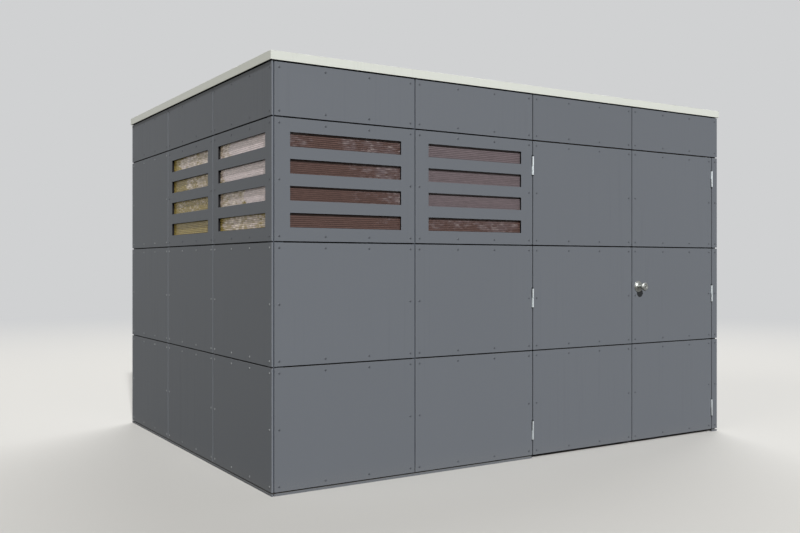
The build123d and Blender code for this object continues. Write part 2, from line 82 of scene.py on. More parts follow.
# Where painted reflection lies on the front sheets and on the left ones, as metres along and up, half sizes
# and strength
FRONT_REFLECTION_PATCHES = (
    (-1.64, 1.88, 0.17, 0.06, 0.9), (-1.06, 1.87, 0.34, 0.10, 0.92), (-1.06, 1.73, 0.32, 0.07, 0.7),
    (-0.98, 1.73, 0.19, 0.07, 1.0), (-1.06, 1.59, 0.28, 0.07, 0.6), (-0.97, 1.60, 0.15, 0.06, 0.9),
    (-1.02, 1.45, 0.12, 0.05, 0.6), (-0.42, 1.80, 0.62, 0.20, 2.4), (-0.46, 1.59, 0.52, 0.09, 1.75),
    (-0.62, 1.46, 0.24, 0.06, 0.75), (-0.26, 1.45, 0.22, 0.06, 0.9),
)
LEFT_REFLECTION_PATCHES = (
    (-1.02, 1.87, 0.42, 0.09, 2.8), (-0.98, 1.73, 0.48, 0.09, 2.9), (-1.16, 1.59, 0.32, 0.08, 2.8),
    (-0.66, 1.80, 0.24, 0.20, 1.1), (-0.70, 1.59, 0.30, 0.07, 1.05), (-0.90, 1.44, 0.44, 0.06, 1.0),
    (-0.12, 1.87, 0.44, 0.07, 1.05), (-0.16, 1.73, 0.34, 0.07, 0.85), (-0.02, 1.59, 0.44, 0.06, 0.6),
)

# Tape: what is higher is on a post, what is wider is on a stud, and this much of it shows in the joint
POST_TAPE_HEIGHT = 1.0
STUD_TAPE_WIDTH = 80 * MM
TAPE_SEEN = 25 * MM

# Plates and seams
HINGES = [joint for joint in frame["record"]["behaviour"]["joints"] if "hinge" in joint["name"]]
PLATE_THICKNESS = 3 * MM
BARREL_REACH = 7 * MM
BARREL_SHARE = 0.8
PLATE_SCREW_RADIUS = 3.6 * MM
PLATE_SCREW_SETBACK = 14 * MM
KNOB_REACH = 66 * MM
KEY_WIDTH, KEY_DEPTH, KEY_LENGTH = 2 * MM, 3 * MM, 8 * MM
SEAM_WIDTH = 60 * MM
SEAM_THICKNESS = 1.2 * MM
FLOOR_SHEET_GAP = 1.5 * MM


def painted(red, green, blue):
    """A colour given as it shows on a screen, 0 to 255, in the shader's own measure."""
    def straight(level):
        share = level / 255
        return share / 12.92 if share <= 0.04045 else ((share + 0.055) / 1.055) ** 2.4
    return (straight(red), straight(green), straight(blue), 1.0)


# Colours of the finishes
BOARD_GREY = painted(99, 103, 109)
# Screw heads: the darker grey is partly the enamel and partly painted shade round each dome; the pale copy is
# painted light that the domes catch on the left wall
SCREW_GREY_AND_SHADE = painted(70, 73, 79)
SCREW_LIT_PALE = painted(128, 131, 133)
# The dark core colour also serves as painted shade on the boards' down-facing edges
BOARD_CORE_AND_SHADE = painted(36, 35, 37)
TRIM_WHITE = painted(205, 208, 201)
RUBBER_BLACK = painted(14, 15, 18)
# Lighter tape for the upright joints: painted light on the same black rubber
TAPE_LIT_GREY = painted(66, 70, 78)
ROOF_BLACK = painted(52, 53, 55)
# Sheet colours: the pale ones and the glint ones are painted reflection and painted highlights; the whole
# golden set of the left sheets is painted reflection on the same bronze-tinted sheet
BRONZE_DARK = painted(87, 67, 62)
BRONZE_REFLECTED_HAZE = painted(106, 95, 98)
BRONZE_PAINTED_GLINT = painted(124, 112, 109)
GOLD_REFLECTED_DARK = painted(162, 144, 82)
GOLD_REFLECTED_HAZE = painted(224, 209, 210)
GOLD_PAINTED_GLINT = painted(232, 220, 200)
SILL_TAR = painted(44, 42, 40)
STAIN_DEPTH, STAIN_FRAY = 32 * MM, 4 * MM
JAMB_STAIN_DEPTH, JAMB_STAIN_FRAY = 44.5 * MM, 1 * MM
STAIN_BLACK = painted(34, 35, 38)
PINE_PALE = painted(214, 178, 128)
PINE_RING = painted(178, 128, 74)
PINE_KNOT = painted(96, 58, 32)
PLY_PALE, PLY_DARK, PLY_SCUFF = painted(196, 160, 112), painted(158, 116, 70), painted(132, 112, 88)
STRAND_MEAN, STRAND_PALE, STRAND_DARK = painted(190, 152, 100), painted(214, 178, 122), painted(160, 118, 66)
# The keyhole's dark colour is painted shade in its recess
ZINC, STAINLESS, KEYHOLE_SHADE = painted(206, 212, 215), painted(168, 170, 167), painted(30, 30, 28)
DUST_COLOUR = painted(150, 144, 132)


cad_wall = (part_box("right_wall_panels")[1].x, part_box("back_wall_panels")[1].y)


# Working on meshes
def work_on(piece):
    """Selects one piece alone and makes it the active one."""
    bpy.ops.object.select_all(action="DESELECT")
    piece.select_set(True)
    bpy.context.view_layer.objects.active = piece


@contextmanager
def editing(piece, select="SELECT"):
    """Edit mode on one piece, with all or none of it selected."""
    work_on(piece)
    bpy.ops.object.mode_set(mode="EDIT")
    bpy.ops.mesh.select_mode(type="FACE")
    bpy.ops.mesh.select_all(action=select)
    yield
    bpy.ops.object.mode_set(mode="OBJECT")


def pick_faces(piece, wanted):
    """Selects the faces that wanted(middle, normal) is true for."""
    with editing(piece, "DESELECT"):
        pass
    for face in piece.data.polygons:
        face.select = wanted(face.center, face.normal)


def pick_points(piece, wanted):
    """Selects the points that wanted(place) is true for."""
    with editing(piece, "DESELECT"):
        bpy.ops.mesh.select_mode(type="VERT")
    for vertex in piece.data.vertices:
        vertex.select = wanted(vertex.co)


@contextmanager
def editing_kept(piece):
    """Edit mode on one piece with what is picked already."""
    work_on(piece)
    bpy.ops.object.mode_set(mode="EDIT")
    yield
    bpy.ops.object.mode_set(mode="OBJECT")


def apply_modifier(piece, kind, **settings):
    """Adds one modifier with these settings and applies it."""
    work_on(piece)
    modifier = piece.modifiers.new(kind.lower(), kind)
    for name, value in settings.items():
        setattr(modifier, name, value)
    bpy.ops.object.modifier_apply(modifier=modifier.name)


def settle(piece):
    """Puts the piece's place, turn and scale into its mesh."""
    work_on(piece)
    bpy.ops.object.transform_apply(location=True, rotation=True, scale=True)


def smooth(piece, degrees=30):
    """Smooth shading, kept sharp over this angle."""
    work_on(piece)
    bpy.ops.object.shade_smooth_by_angle(angle=math.radians(degrees))


def even_shading(piece):
    """Shading that follows the large faces, so that eased edges don't tint them."""
    apply_modifier(piece, "WEIGHTED_NORMAL", keep_sharp=True)


def copy_at(model, place):
    """A copy of a model with its own mesh, put at a place matrix."""
    piece = bpy.data.objects.new(model.name, model.data.copy())
    bpy.context.scene.collection.objects.link(piece)
    piece.matrix_world = place
    return piece


def joined(pieces, name):
    """Several pieces as one mesh with its place in the mesh."""
    work_on(pieces[0])
    for piece in pieces[1:]:
        piece.select_set(True)
    bpy.ops.object.join()
    whole = pieces[0]
    whole.name = name
    settle(whole)
    return whole


def discard(piece):
    """Removes a model that only served for copies."""
    bpy.data.objects.remove(piece)


def fitted(piece, finish, body, replaces=()):
    """Gives a finished piece its material, its body and the nodes it stands for."""
    piece.data.materials.clear()
    piece.data.materials.append(finish)
    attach(piece, body)
    if replaces:
        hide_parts(*replaces)
    return piece


def body_of_node(node):
    """The body that a node moves with."""
    return frame["nodes"][node]["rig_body"]


def merged_copy(node, name):
    """A copy of a node's mesh with its loose triangles merged into whole faces."""
    mesh = frame["nodes"][node].data.copy()
    piece = bpy.data.objects.new(name, mesh)
    bpy.context.scene.collection.objects.link(piece)
    with editing(piece):
        bpy.ops.mesh.customdata_custom_splitnormals_clear()
        bpy.ops.mesh.remove_doubles(threshold=0.01 * MM)
        bpy.ops.mesh.dissolve_limited(angle_limit=math.radians(0.5))
    return piece


def eased_copy(node, name, width, segments=2, angle=30):
    """A merged copy with its sharp edges eased."""
    piece = merged_copy(node, name)
    apply_modifier(piece, "BEVEL", width=width, segments=segments, limit_method="ANGLE",
                   angle_limit=math.radians(angle), use_clamp_overlap=True)
    return piece


def solids_of(mesh):
    """The vertex numbers of each separate solid in a mesh."""
    leader = list(range(len(mesh.vertices)))

    def head(vertex):
        while leader[vertex] != vertex:
            leader[vertex] = leader[leader[vertex]]
            vertex = leader[vertex]
        return vertex

    for edge in mesh.edges:
        first, second = (head(vertex) for vertex in edge.vertices)
        leader[max(first, second)] = min(first, second)
    solids = {}
    for vertex in range(len(mesh.vertices)):
        solids.setdefault(head(vertex), []).append(vertex)
    return list(solids.values())


def reach_of(mesh, solid):
    """Lowest and highest corner of one solid."""
    places = [mesh.vertices[vertex].co for vertex in solid]
    low = Vector(min(place[axis] for place in places) for axis in range(3))
    high = Vector(max(place[axis] for place in places) for axis in range(3))
    return low, high


def measure_solids(piece):
    """Writes how far each point lies from its solid's two ends along three axes, and one tone a solid."""
    mesh = piece.data
    mesh.attributes.new("from_start", "FLOAT_VECTOR", "POINT")
    mesh.attributes.new("to_end", "FLOAT_VECTOR", "POINT")
    mesh.attributes.new("tone", "FLOAT", "POINT")
    from_start, to_end, tone = (mesh.attributes[name].data for name in ("from_start", "to_end", "tone"))
    draw = random.Random(piece.name)
    for solid in solids_of(mesh):
        low, high = reach_of(mesh, solid)
        order = sorted(range(3), key=lambda axis: low[axis] - high[axis])
        shade = draw.random()
        for vertex in solid:
            place = mesh.vertices[vertex].co
            from_start[vertex].vector = [place[axis] - low[axis] for axis in order]
            to_end[vertex].vector = [high[axis] - place[axis] for axis in order]
            tone[vertex].value = shade


# Placing shader nodes
def put(tree, kind, settings=None, inputs=None):
    """Adds a shader node, with its settings and with its inputs set or linked."""
    node = tree.nodes.new("ShaderNode" + kind)
    for name, value in (settings or {}).items():
        setattr(node, name, value)
    for name, value in (inputs or {}).items():
        if isinstance(value, bpy.types.NodeSocket):
            tree.links.new(value, node.inputs[name])
        else:
            node.inputs[name].default_value = value
    return node


def maths(tree, operation, *values, clamp=False):
    """One sum on plain values."""
    return put(tree, "Math", {"operation": operation, "use_clamp": clamp}, dict(enumerate(values))).outputs[0]


def mixed(tree, share, first, second):
    """Two colours mixed by a share."""
    return put(tree, "Mix", {"data_type": "RGBA"}, {0: share, 6: first, 7: second}).outputs[2]


def noise(tree, place, scale, detail=2.0, roughness=0.5, distortion=0.0):
    """Soft noise from 0 to 1."""
    inputs = {"Vector": place, "Scale": scale, "Detail": detail, "Roughness": roughness,
              "Distortion": distortion}
    return put(tree, "TexNoise", None, inputs).outputs[0]


def ranged(tree, value, low, high):
    """A value moved from low and high to 0 and 1, and held between them."""
    inputs = {"Value": value, "From Min": low, "From Max": high}
    return put(tree, "MapRange", {"interpolation_type": "SMOOTHSTEP"}, inputs).outputs[0]


def stretched(tree, place, scale, turn=(0, 0, 0), move=(0, 0, 0)):
    """A place stretched, turned and moved."""
    inputs = {"Vector": place, "Scale": scale, "Rotation": turn, "Location": move}
    return put(tree, "Mapping", None, inputs).outputs[0]


def object_place(tree):
    """The place on the object, which holds still as the piece moves."""
    return put(tree, "TexCoord").outputs["Object"]


def written(tree, name):
    """An attribute that measure_solids wrote."""
    return put(tree, "Attribute", {"attribute_name": name})


def shaded(tree, colour, factor):
    """A colour made lighter or darker by a factor near 1."""
    return put(tree, "HueSaturation", None, {"Color": colour, "Value": factor}).outputs[0]


def bumped(tree, height, strength, distance):
    """A normal from a height."""
    return put(tree, "Bump", None, {"Height": height, "Strength": strength, "Distance": distance}).outputs[0]


def new_group(name, inputs, outputs):
    """A shader node group with named inputs and outputs, and its two ends."""
    group = bpy.data.node_groups.new(name, "ShaderNodeTree")
    for label, default in inputs.items():
        socket = group.interface.new_socket(label, in_out="INPUT", socket_type="NodeSocketFloat")
        socket.default_value = default
    for label in outputs:
        group.interface.new_socket(label, in_out="OUTPUT", socket_type="NodeSocketFloat")
    return group, group.nodes.new("NodeGroupInput").outputs, group.nodes.new("NodeGroupOutput").inputs


def use_group(tree, group, **inputs):
    """A group placed in a material with its own values. Returns its outputs."""
    node = tree.nodes.new("ShaderNodeGroup")
    node.node_tree = group
    for name, value in inputs.items():
        label = name.replace("_", " ").capitalize()
        if isinstance(value, bpy.types.NodeSocket):
            tree.links.new(value, node.inputs[label])
        else:
            node.inputs[label].default_value = value
    return node.outputs


# Effects shared by several finishes
def make_patchy_tone():
    """A factor near 1 that drifts over the surface, with a fine speckle in it."""
    group, given, result = new_group(
        "patchy tone", {"Patch size": 0.5, "Patch spread": 0.03, "Grain size": 0.002, "Grain spread": 0.03},
        ["Factor", "Grain"])
    place = object_place(group)
    patches = noise(group, place, maths(group, "DIVIDE", 1.0, given["Patch size"]), 3.0)
    grain = noise(group, place, maths(group, "DIVIDE", 1.0, given["Grain size"]), 2.0, 0.6)
    patch_part = maths(group, "MULTIPLY", maths(group, "SUBTRACT", patches, 0.5), given["Patch spread"])
    grain_part = maths(group, "MULTIPLY", maths(group, "SUBTRACT", grain, 0.5), given["Grain spread"])
    total = maths(group, "ADD", maths(group, "MULTIPLY_ADD", patch_part, 2.0, 1.0),
                  maths(group, "MULTIPLY", grain_part, 2.0))
    group.links.new(total, result["Factor"])
    group.links.new(grain, result["Grain"])
    return group


def make_settled_dust():
    """A mask of dust on faces that look up and of splashes near the ground."""
    group, given, result = new_group(
        "settled dust", {"Top amount": 0.5, "Splash amount": 0.3, "Splash height": 0.15}, ["Mask"])
    place = object_place(group)
    facing = put(group, "SeparateXYZ", None, {0: put(group, "TexCoord").outputs["Normal"]}).outputs[2]
    height = put(group, "SeparateXYZ", None, {0: place}).outputs[2]
    cloud = ranged(group, noise(group, place, 5.0, 6.0, 0.65), 0.35, 0.75)
    specks = ranged(group, noise(group, place, 160.0, 3.0, 0.7), 0.45, 0.7)
    upward = ranged(group, facing, 0.6, 0.98)
    on_top = maths(group, "MULTIPLY", maths(group, "MULTIPLY", upward, given["Top amount"]),
                   maths(group, "MULTIPLY_ADD", cloud, 0.7, 0.3))
    rise = maths(group, "DIVIDE", height, given["Splash height"])
    low_down = maths(group, "SUBTRACT", 1.0, rise, clamp=True)
    splash = maths(group, "MULTIPLY", maths(group, "MULTIPLY", maths(group, "POWER", low_down, 1.6), specks),
                   given["Splash amount"])
    group.links.new(maths(group, "MAXIMUM", on_top, splash), result["Mask"])
    return group


def make_worn_edge_and_lit_end():
    """A mask along the edges of measured solids, and a painted highlight on their two ends."""
    group, given, result = new_group("worn edge", {"Width": 0.002, "Break up": 0.5}, ["Mask", "End"])
    start = put(group, "SeparateXYZ", None, {0: written(group, "from_start").outputs["Vector"]}).outputs
    end = put(group, "SeparateXYZ", None, {0: written(group, "to_end").outputs["Vector"]}).outputs
    along, across, through = (maths(group, "MINIMUM", start[axis], end[axis]) for axis in range(3))
    nearest_two = maths(group, "MAXIMUM", along, across)
    nearest_one = maths(group, "MINIMUM", along, across)
    second = maths(group, "MAXIMUM", nearest_one, maths(group, "MINIMUM", nearest_two, through))
    rim = maths(group, "SUBTRACT", 1.0, maths(group, "DIVIDE", second, given["Width"]), clamp=True)
    chips = noise(group, object_place(group), 35.0, 4.0, 0.7)
    broken = maths(group, "MULTIPLY_ADD", maths(group, "SUBTRACT", chips, 0.5), given["Break up"], 0.75)
    group.links.new(maths(group, "MULTIPLY", rim, broken, clamp=True), result["Mask"])
    group.links.new(ranged(group, along, 0.0008, 0.0002), result["End"])
    return group


def make_rain_marks():
    """A mask of faint upright runs of rain."""
    group, given, result = new_group("rain marks", {"Run width": 0.02, "Run length": 0.9}, ["Mask"])
    place = object_place(group)
    parts = put(group, "SeparateXYZ", None, {0: place}).outputs
    sideways = maths(group, "DIVIDE", 1.0, given["Run width"])
    downward = maths(group, "DIVIDE", 1.0, given["Run length"])
    scaled = put(group, "CombineXYZ", None, {
        0: maths(group, "MULTIPLY", parts[0], sideways), 1: maths(group, "MULTIPLY", parts[1], sideways),
        2: maths(group, "MULTIPLY", parts[2], downward)}).outputs[0]
    runs = ranged(group, noise(group, scaled, 1.0, 4.0, 0.6), 0.5, 0.72)
    clouds = ranged(group, noise(group, place, 1.6, 2.0), 0.4, 0.65)
    group.links.new(maths(group, "MULTIPLY", runs, clouds), result["Mask"])
    return group


def make_wood_grain():
    """Growth rings, fibres and knots that run along each measured timber."""
    group, given, result = new_group(
        "wood grain", {"Ring count": 12.0, "Knot size": 0.12, "Knot spread": 2.6}, ["Rings", "Fibre", "Knot"])
    own = maths(group, "MULTIPLY", written(group, "tone").outputs["Fac"], 61.0)
    offset = put(group, "CombineXYZ", None, {0: own, 1: own, 2: own}).outputs[0]
    place = put(group, "VectorMath", {"operation": "ADD"},
                {0: written(group, "from_start").outputs["Vector"], 1: offset}).outputs[0]
    knot_cells = put(group, "TexVoronoi", None, {
        "Vector": stretched(group, place, (1.0, 3.2, 3.2)),
        "Scale": given["Knot spread"]}).outputs["Distance"]
    knot = ranged(group, knot_cells, given["Knot size"], 0.0)
    swirl = ranged(group, knot_cells, maths(group, "MULTIPLY", given["Knot size"], 3.5), 0.0)
    layers = noise(group, stretched(group, place, (0.45, 7.0, 7.0)), 1.0, 2.0, 0.45, 0.15)
    height = maths(group, "MULTIPLY_ADD", layers, given["Ring count"], maths(group, "MULTIPLY", swirl, 2.2))
    wave = maths(group, "SINE", maths(group, "MULTIPLY", height, math.tau))
    rings = maths(group, "POWER", maths(group, "MULTIPLY_ADD", wave, 0.5, 0.5), 2.2)
    fibre = noise(group, stretched(group, place, (7.0, 420.0, 420.0)), 1.0, 3.0, 0.6)
    group.links.new(rings, result["Rings"])
    group.links.new(fibre, result["Fibre"])
    group.links.new(knot, result["Knot"])
    return group


PATCHY = make_patchy_tone()
DUST = make_settled_dust()
EDGE = make_worn_edge_and_lit_end()
RAIN = make_rain_marks()
GRAIN = make_wood_grain()


# Finishes
def new_finish(name, roughness=0.5, metallic=0.0):
    """A material with its tree and its shader."""
    finish = bpy.data.materials.new(name)
    finish.use_nodes = True
    shader = finish.node_tree.nodes["Principled BSDF"]
    shader.inputs["Roughness"].default_value = roughness
    shader.inputs["Metallic"].default_value = metallic
    return finish, finish.node_tree, shader


def plug(tree, source, shader, name):
    """Links a value into one of the shader's sockets."""
    tree.links.new(source, shader.inputs[name])


def board_finish():
    """Matt anthracite boards: an even colour with a fine speckle, faint rain runs, eased edges and a painted
    highlight on their ends.
    """
    finish, tree, shader = new_finish("anthracite board")
    shader.inputs["Specular IOR Level"].default_value = 0.25
    patchy = use_group(tree, PATCHY, patch_size=0.6, patch_spread=0.02, grain_size=0.0016, grain_spread=0.05)
    own = maths(tree, "MULTIPLY_ADD", written(tree, "tone").outputs["Fac"], 0.03, 0.985)
    rain = use_group(tree, RAIN, run_width=0.018, run_length=1.1)["Mask"]
    edge = use_group(tree, EDGE, width=0.0022, break_up=0.5)
    factor = maths(tree, "MULTIPLY", maths(tree, "MULTIPLY", patchy["Factor"], own),
                   maths(tree, "MULTIPLY_ADD", rain, -0.035, 1.0))
    factor = maths(tree, "MULTIPLY", factor, maths(tree, "MULTIPLY_ADD", edge["Mask"], 0.16, 1.0))
    # The boards' ends are painted lighter: a painted highlight where the joints' edges catch the light
    factor = maths(tree, "MULTIPLY", factor, maths(tree, "MULTIPLY_ADD", edge["End"], 0.2, 1.0))
    dust = use_group(tree, DUST, top_amount=0.35, splash_amount=0.3, splash_height=0.12)["Mask"]
    plug(tree, mixed(tree, dust, shaded(tree, BOARD_GREY, factor), DUST_COLOUR), shader, "Base Color")
    roughness = maths(tree, "MULTIPLY_ADD", patchy["Grain"], 0.12, 0.54)
    roughness = maths(tree, "MULTIPLY_ADD", rain, 0.08, roughness)
    plug(tree, maths(tree, "MULTIPLY_ADD", dust, 0.3, roughness), shader, "Roughness")
    plug(tree, bumped(tree, patchy["Grain"], 0.12, 0.0002), shader, "Normal")
    return finish


def core_and_shade_finish():
    """The dark core that the boards show inside the slots, and painted shade on their edges seen from below.
    """
    finish, tree, shader = new_finish("board core")
    shader.inputs["Specular IOR Level"].default_value = 0.1
    patchy = use_group(tree, PATCHY, patch_size=0.04, patch_spread=0.12, grain_size=0.0007, grain_spread=0.2)
    plug(tree, shaded(tree, BOARD_CORE_AND_SHADE, patchy["Factor"]), shader, "Base Color")
    plug(tree, maths(tree, "MULTIPLY_ADD", patchy["Grain"], 0.2, 0.6), shader, "Roughness")
    plug(tree, bumped(tree, patchy["Grain"], 0.2, 0.0002), shader, "Normal")
    return finish


def screw_finish(name, colour):
    """Enamelled screw heads in one colour."""
    finish, tree, shader = new_finish(name)
    patchy = use_group(tree, PATCHY, patch_size=0.05, patch_spread=0.12, grain_size=0.0007, grain_spread=0.06)
    plug(tree, shaded(tree, colour, patchy["Factor"]), shader, "Base Color")
    plug(tree, maths(tree, "MULTIPLY_ADD", patchy["Grain"], 0.2, 0.32), shader, "Roughness")
    plug(tree, bumped(tree, patchy["Grain"], 0.2, 0.0001), shader, "Normal")
    return finish


def trim_finish():
    """Powder-coated metal: fine orange peel, a breath of dust and faint runs."""
    finish, tree, shader = new_finish("powder coat")
    patchy = use_group(tree, PATCHY, patch_size=0.35, patch_spread=0.02, grain_size=0.0012, grain_spread=0.02)
    rain = use_group(tree, RAIN, run_width=0.012, run_length=0.25)["Mask"]
    dust = use_group(tree, DUST, top_amount=0.45, splash_amount=0.0, splash_height=0.1)["Mask"]
    factor = maths(tree, "MULTIPLY", patchy["Factor"], maths(tree, "MULTIPLY_ADD", rain, -0.05, 1.0))
    plug(tree, mixed(tree, dust, shaded(tree, TRIM_WHITE, factor), DUST_COLOUR), shader, "Base Color")
    plug(tree, maths(tree, "MULTIPLY_ADD", dust, 0.4, 0.36), shader, "Roughness")
    plug(tree, bumped(tree, patchy["Grain"], 0.15, 0.0002), shader, "Normal")
    return finish


def rubber_finish(name, colour, dust_amount):
    """Dull rubber with a fine grain and some dust."""
    finish, tree, shader = new_finish(name)
    shader.inputs["Specular IOR Level"].default_value = 0.15
    patchy = use_group(tree, PATCHY, patch_size=0.2, patch_spread=0.12, grain_size=0.001, grain_spread=0.15)
    dust = use_group(tree, DUST, top_amount=dust_amount, splash_amount=0.4, splash_height=0.15)["Mask"]
    plug(tree, mixed(tree, dust, shaded(tree, colour, patchy["Factor"]), DUST_COLOUR), shader, "Base Color")
    plug(tree, maths(tree, "MULTIPLY_ADD", patchy["Grain"], 0.2, 0.58), shader, "Roughness")
    plug(tree, bumped(tree, patchy["Grain"], 0.3, 0.0003), shader, "Normal")
    return finish


def roof_sheet_finish():
    """Sheet rubber on the roof: dusty, with the pale rims that drying puddles leave."""
    finish, tree, shader = new_finish("roof sheet")
    place = object_place(tree)
    patchy = use_group(tree, PATCHY, patch_size=0.45, patch_spread=0.16, grain_size=0.0016, grain_spread=0.12)
    dust = use_group(tree, DUST, top_amount=0.42, splash_amount=0.0, splash_height=0.1)["Mask"]
    puddles = noise(tree, place, 1.3, 3.0, 0.5, 0.4)
    rims = ranged(tree, maths(tree, "ABSOLUTE", maths(tree, "SUBTRACT", puddles, 0.54)), 0.022, 0.0)
    inside = ranged(tree, puddles, 0.53, 0.6)
    marked = maths(tree, "ADD", maths(tree, "MULTIPLY", dust, maths(tree, "MULTIPLY_ADD", inside, 0.5, 0.7)),
                   maths(tree, "MULTIPLY", rims, 0.09), clamp=True)
    colour = mixed(tree, marked, shaded(tree, ROOF_BLACK, patchy["Factor"]), DUST_COLOUR)
    plug(tree, colour, shader, "Base Color")
    plug(tree, maths(tree, "MULTIPLY_ADD", marked, 0.25, 0.62), shader, "Roughness")
    waves = noise(tree, stretched(tree, place, (1.4, 4.5, 1.0)), 1.0, 2.0)
    height = maths(tree, "MULTIPLY_ADD", patchy["Grain"], 0.02, waves)
    plug(tree, bumped(tree, height, 0.5, 0.006), shader, "Normal")
    return finish


def make_soft_patch():
    """A soft-edged patch on a wall: 1 round its middle and 0 beyond its half sizes."""
    group, given, result = new_group("soft patch", {
        "Along": 0.0, "Rise": 0.0, "Middle": 0.0, "Height": 0.0,
        "Half length": 0.2, "Half rise": 0.05}, ["Mask"])
    sideways = maths(group, "SUBTRACT", given["Along"], given["Middle"])
    sideways = maths(group, "DIVIDE", sideways, given["Half length"])
    upwards = maths(group, "SUBTRACT", given["Rise"], given["Height"])
    upwards = maths(group, "DIVIDE", upwards, given["Half rise"])
    apart = maths(group, "SQRT", maths(group, "ADD", maths(group, "MULTIPLY", sideways, sideways),
                                       maths(group, "MULTIPLY", upwards, upwards)))
    group.links.new(ranged(group, apart, 1.05, 0.65), result["Mask"])
    return group


def make_sheet_reflection():
    """Lines at the sheet's webs, painted pale reflection between them, dashes in each row, and painted bright
    glints where the reflection is thin.
    """
    group, given, result = new_group(
        "sheet haze", {"Foot": 1.37, "Pitch": 0.01, "Amount": 0.5, "Dash length": 0.03},
        ["Web", "Haze", "Dash", "Glint"])
    place = object_place(group)
    height = put(group, "SeparateXYZ", None, {0: place}).outputs[2]
    cells = maths(group, "DIVIDE", maths(group, "SUBTRACT", height, given["Foot"]), given["Pitch"])
    from_web = maths(group, "ABSOLUTE", maths(group, "SUBTRACT", maths(group, "FRACT", cells), 0.5))
    group.links.new(ranged(group, from_web, 0.16, 0.36), result["Web"])
    row = maths(group, "MULTIPLY", maths(group, "FLOOR", cells), 7.3)
    flat = put(group, "VectorMath", {"operation": "MULTIPLY"}, {0: place, 1: (1.0, 1.0, 0.0)}).outputs[0]
    own_row = put(group, "VectorMath", {"operation": "ADD"}, {
        0: flat, 1: put(group, "CombineXYZ", None, {2: row}).outputs[0]}).outputs[0]
    dashes = noise(group, own_row, maths(group, "DIVIDE", 1.0, given["Dash length"]), 1.5, 0.5)
    clouds = noise(group, stretched(group, place, (1.0, 1.0, 2.0)), 9.0, 4.0, 0.6, 0.4)
    level = maths(group, "ADD", maths(group, "SUBTRACT", clouds, 0.5), given["Amount"])
    rough = maths(group, "MULTIPLY_ADD", maths(group, "SUBTRACT", dashes, 0.5), 1.3, level)
    group.links.new(ranged(group, rough, 0.0, 1.0), result["Haze"])
    group.links.new(dashes, result["Dash"])
    thin = maths(group, "MULTIPLY", ranged(group, level, 0.1, 0.5), ranged(group, level, 1.1, 0.7))
    group.links.new(maths(group, "MULTIPLY", ranged(group, dashes, 0.52, 0.75), thin), result["Glint"])
    return group


SOFT_PATCH = make_soft_patch()
SHEET_REFLECTION = make_sheet_reflection()


def reflection_amount(tree, axis, patches):
    """How much painted reflection lies at a place, from the patches of it along one axis."""
    parts = put(tree, "SeparateXYZ", None, {0: object_place(tree)}).outputs
    amount = 0.0
    for middle, height, half_length, half_rise, strength in patches:
        mask = use_group(tree, SOFT_PATCH, along=parts[axis], rise=parts[2], middle=middle, height=height,
                         half_length=half_length, half_rise=half_rise)["Mask"]
        amount = maths(tree, "MAXIMUM", amount, maths(tree, "MULTIPLY", mask, strength))
    return maths(tree, "SUBTRACT", amount, 0.5)


def sheet_finish(name, colours, web_depth, dash_length, dash_depth, gloss, axis, patches):
    """Twin-wall sheet: darker lines at its webs, dashes in each row, and painted reflection with painted
    glints in patches along one axis.
    """
    finish, tree, shader = new_finish(name)
    shader.inputs["Specular IOR Level"].default_value = 0.2
    shader.inputs["Transmission Weight"].default_value = 0.2
    marks = use_group(tree, SHEET_REFLECTION, foot=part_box("window_glazing")[0].z, pitch=WEB_PITCH,
                      amount=reflection_amount(tree, axis, patches), dash_length=dash_length)
    dark, reflected_haze, painted_glint = colours
    # Painted reflection and painted glints laid over the sheet's own dark tint
    colour = mixed(tree, marks["Glint"], mixed(tree, marks["Haze"], dark, reflected_haze), painted_glint)
    depth = maths(tree, "MULTIPLY_ADD", marks["Haze"], -0.4 * web_depth, web_depth)
    lines = maths(tree, "MULTIPLY_ADD", maths(tree, "SUBTRACT", 0.5, marks["Web"]), depth, 1.0)
    dashes = maths(tree, "MULTIPLY_ADD", maths(tree, "SUBTRACT", marks["Dash"], 0.5), dash_depth, 1.0)
    plug(tree, shaded(tree, colour, maths(tree, "MULTIPLY", lines, dashes)), shader, "Base Color")
    plug(tree, maths(tree, "MULTIPLY_ADD", marks["Haze"], 0.2, 0.25), shader, "Roughness")
    plug(tree, maths(tree, "MULTIPLY", marks["Haze"], gloss), shader, "Coat Weight")
    shader.inputs["Coat Roughness"].default_value = 0.15
    return finish


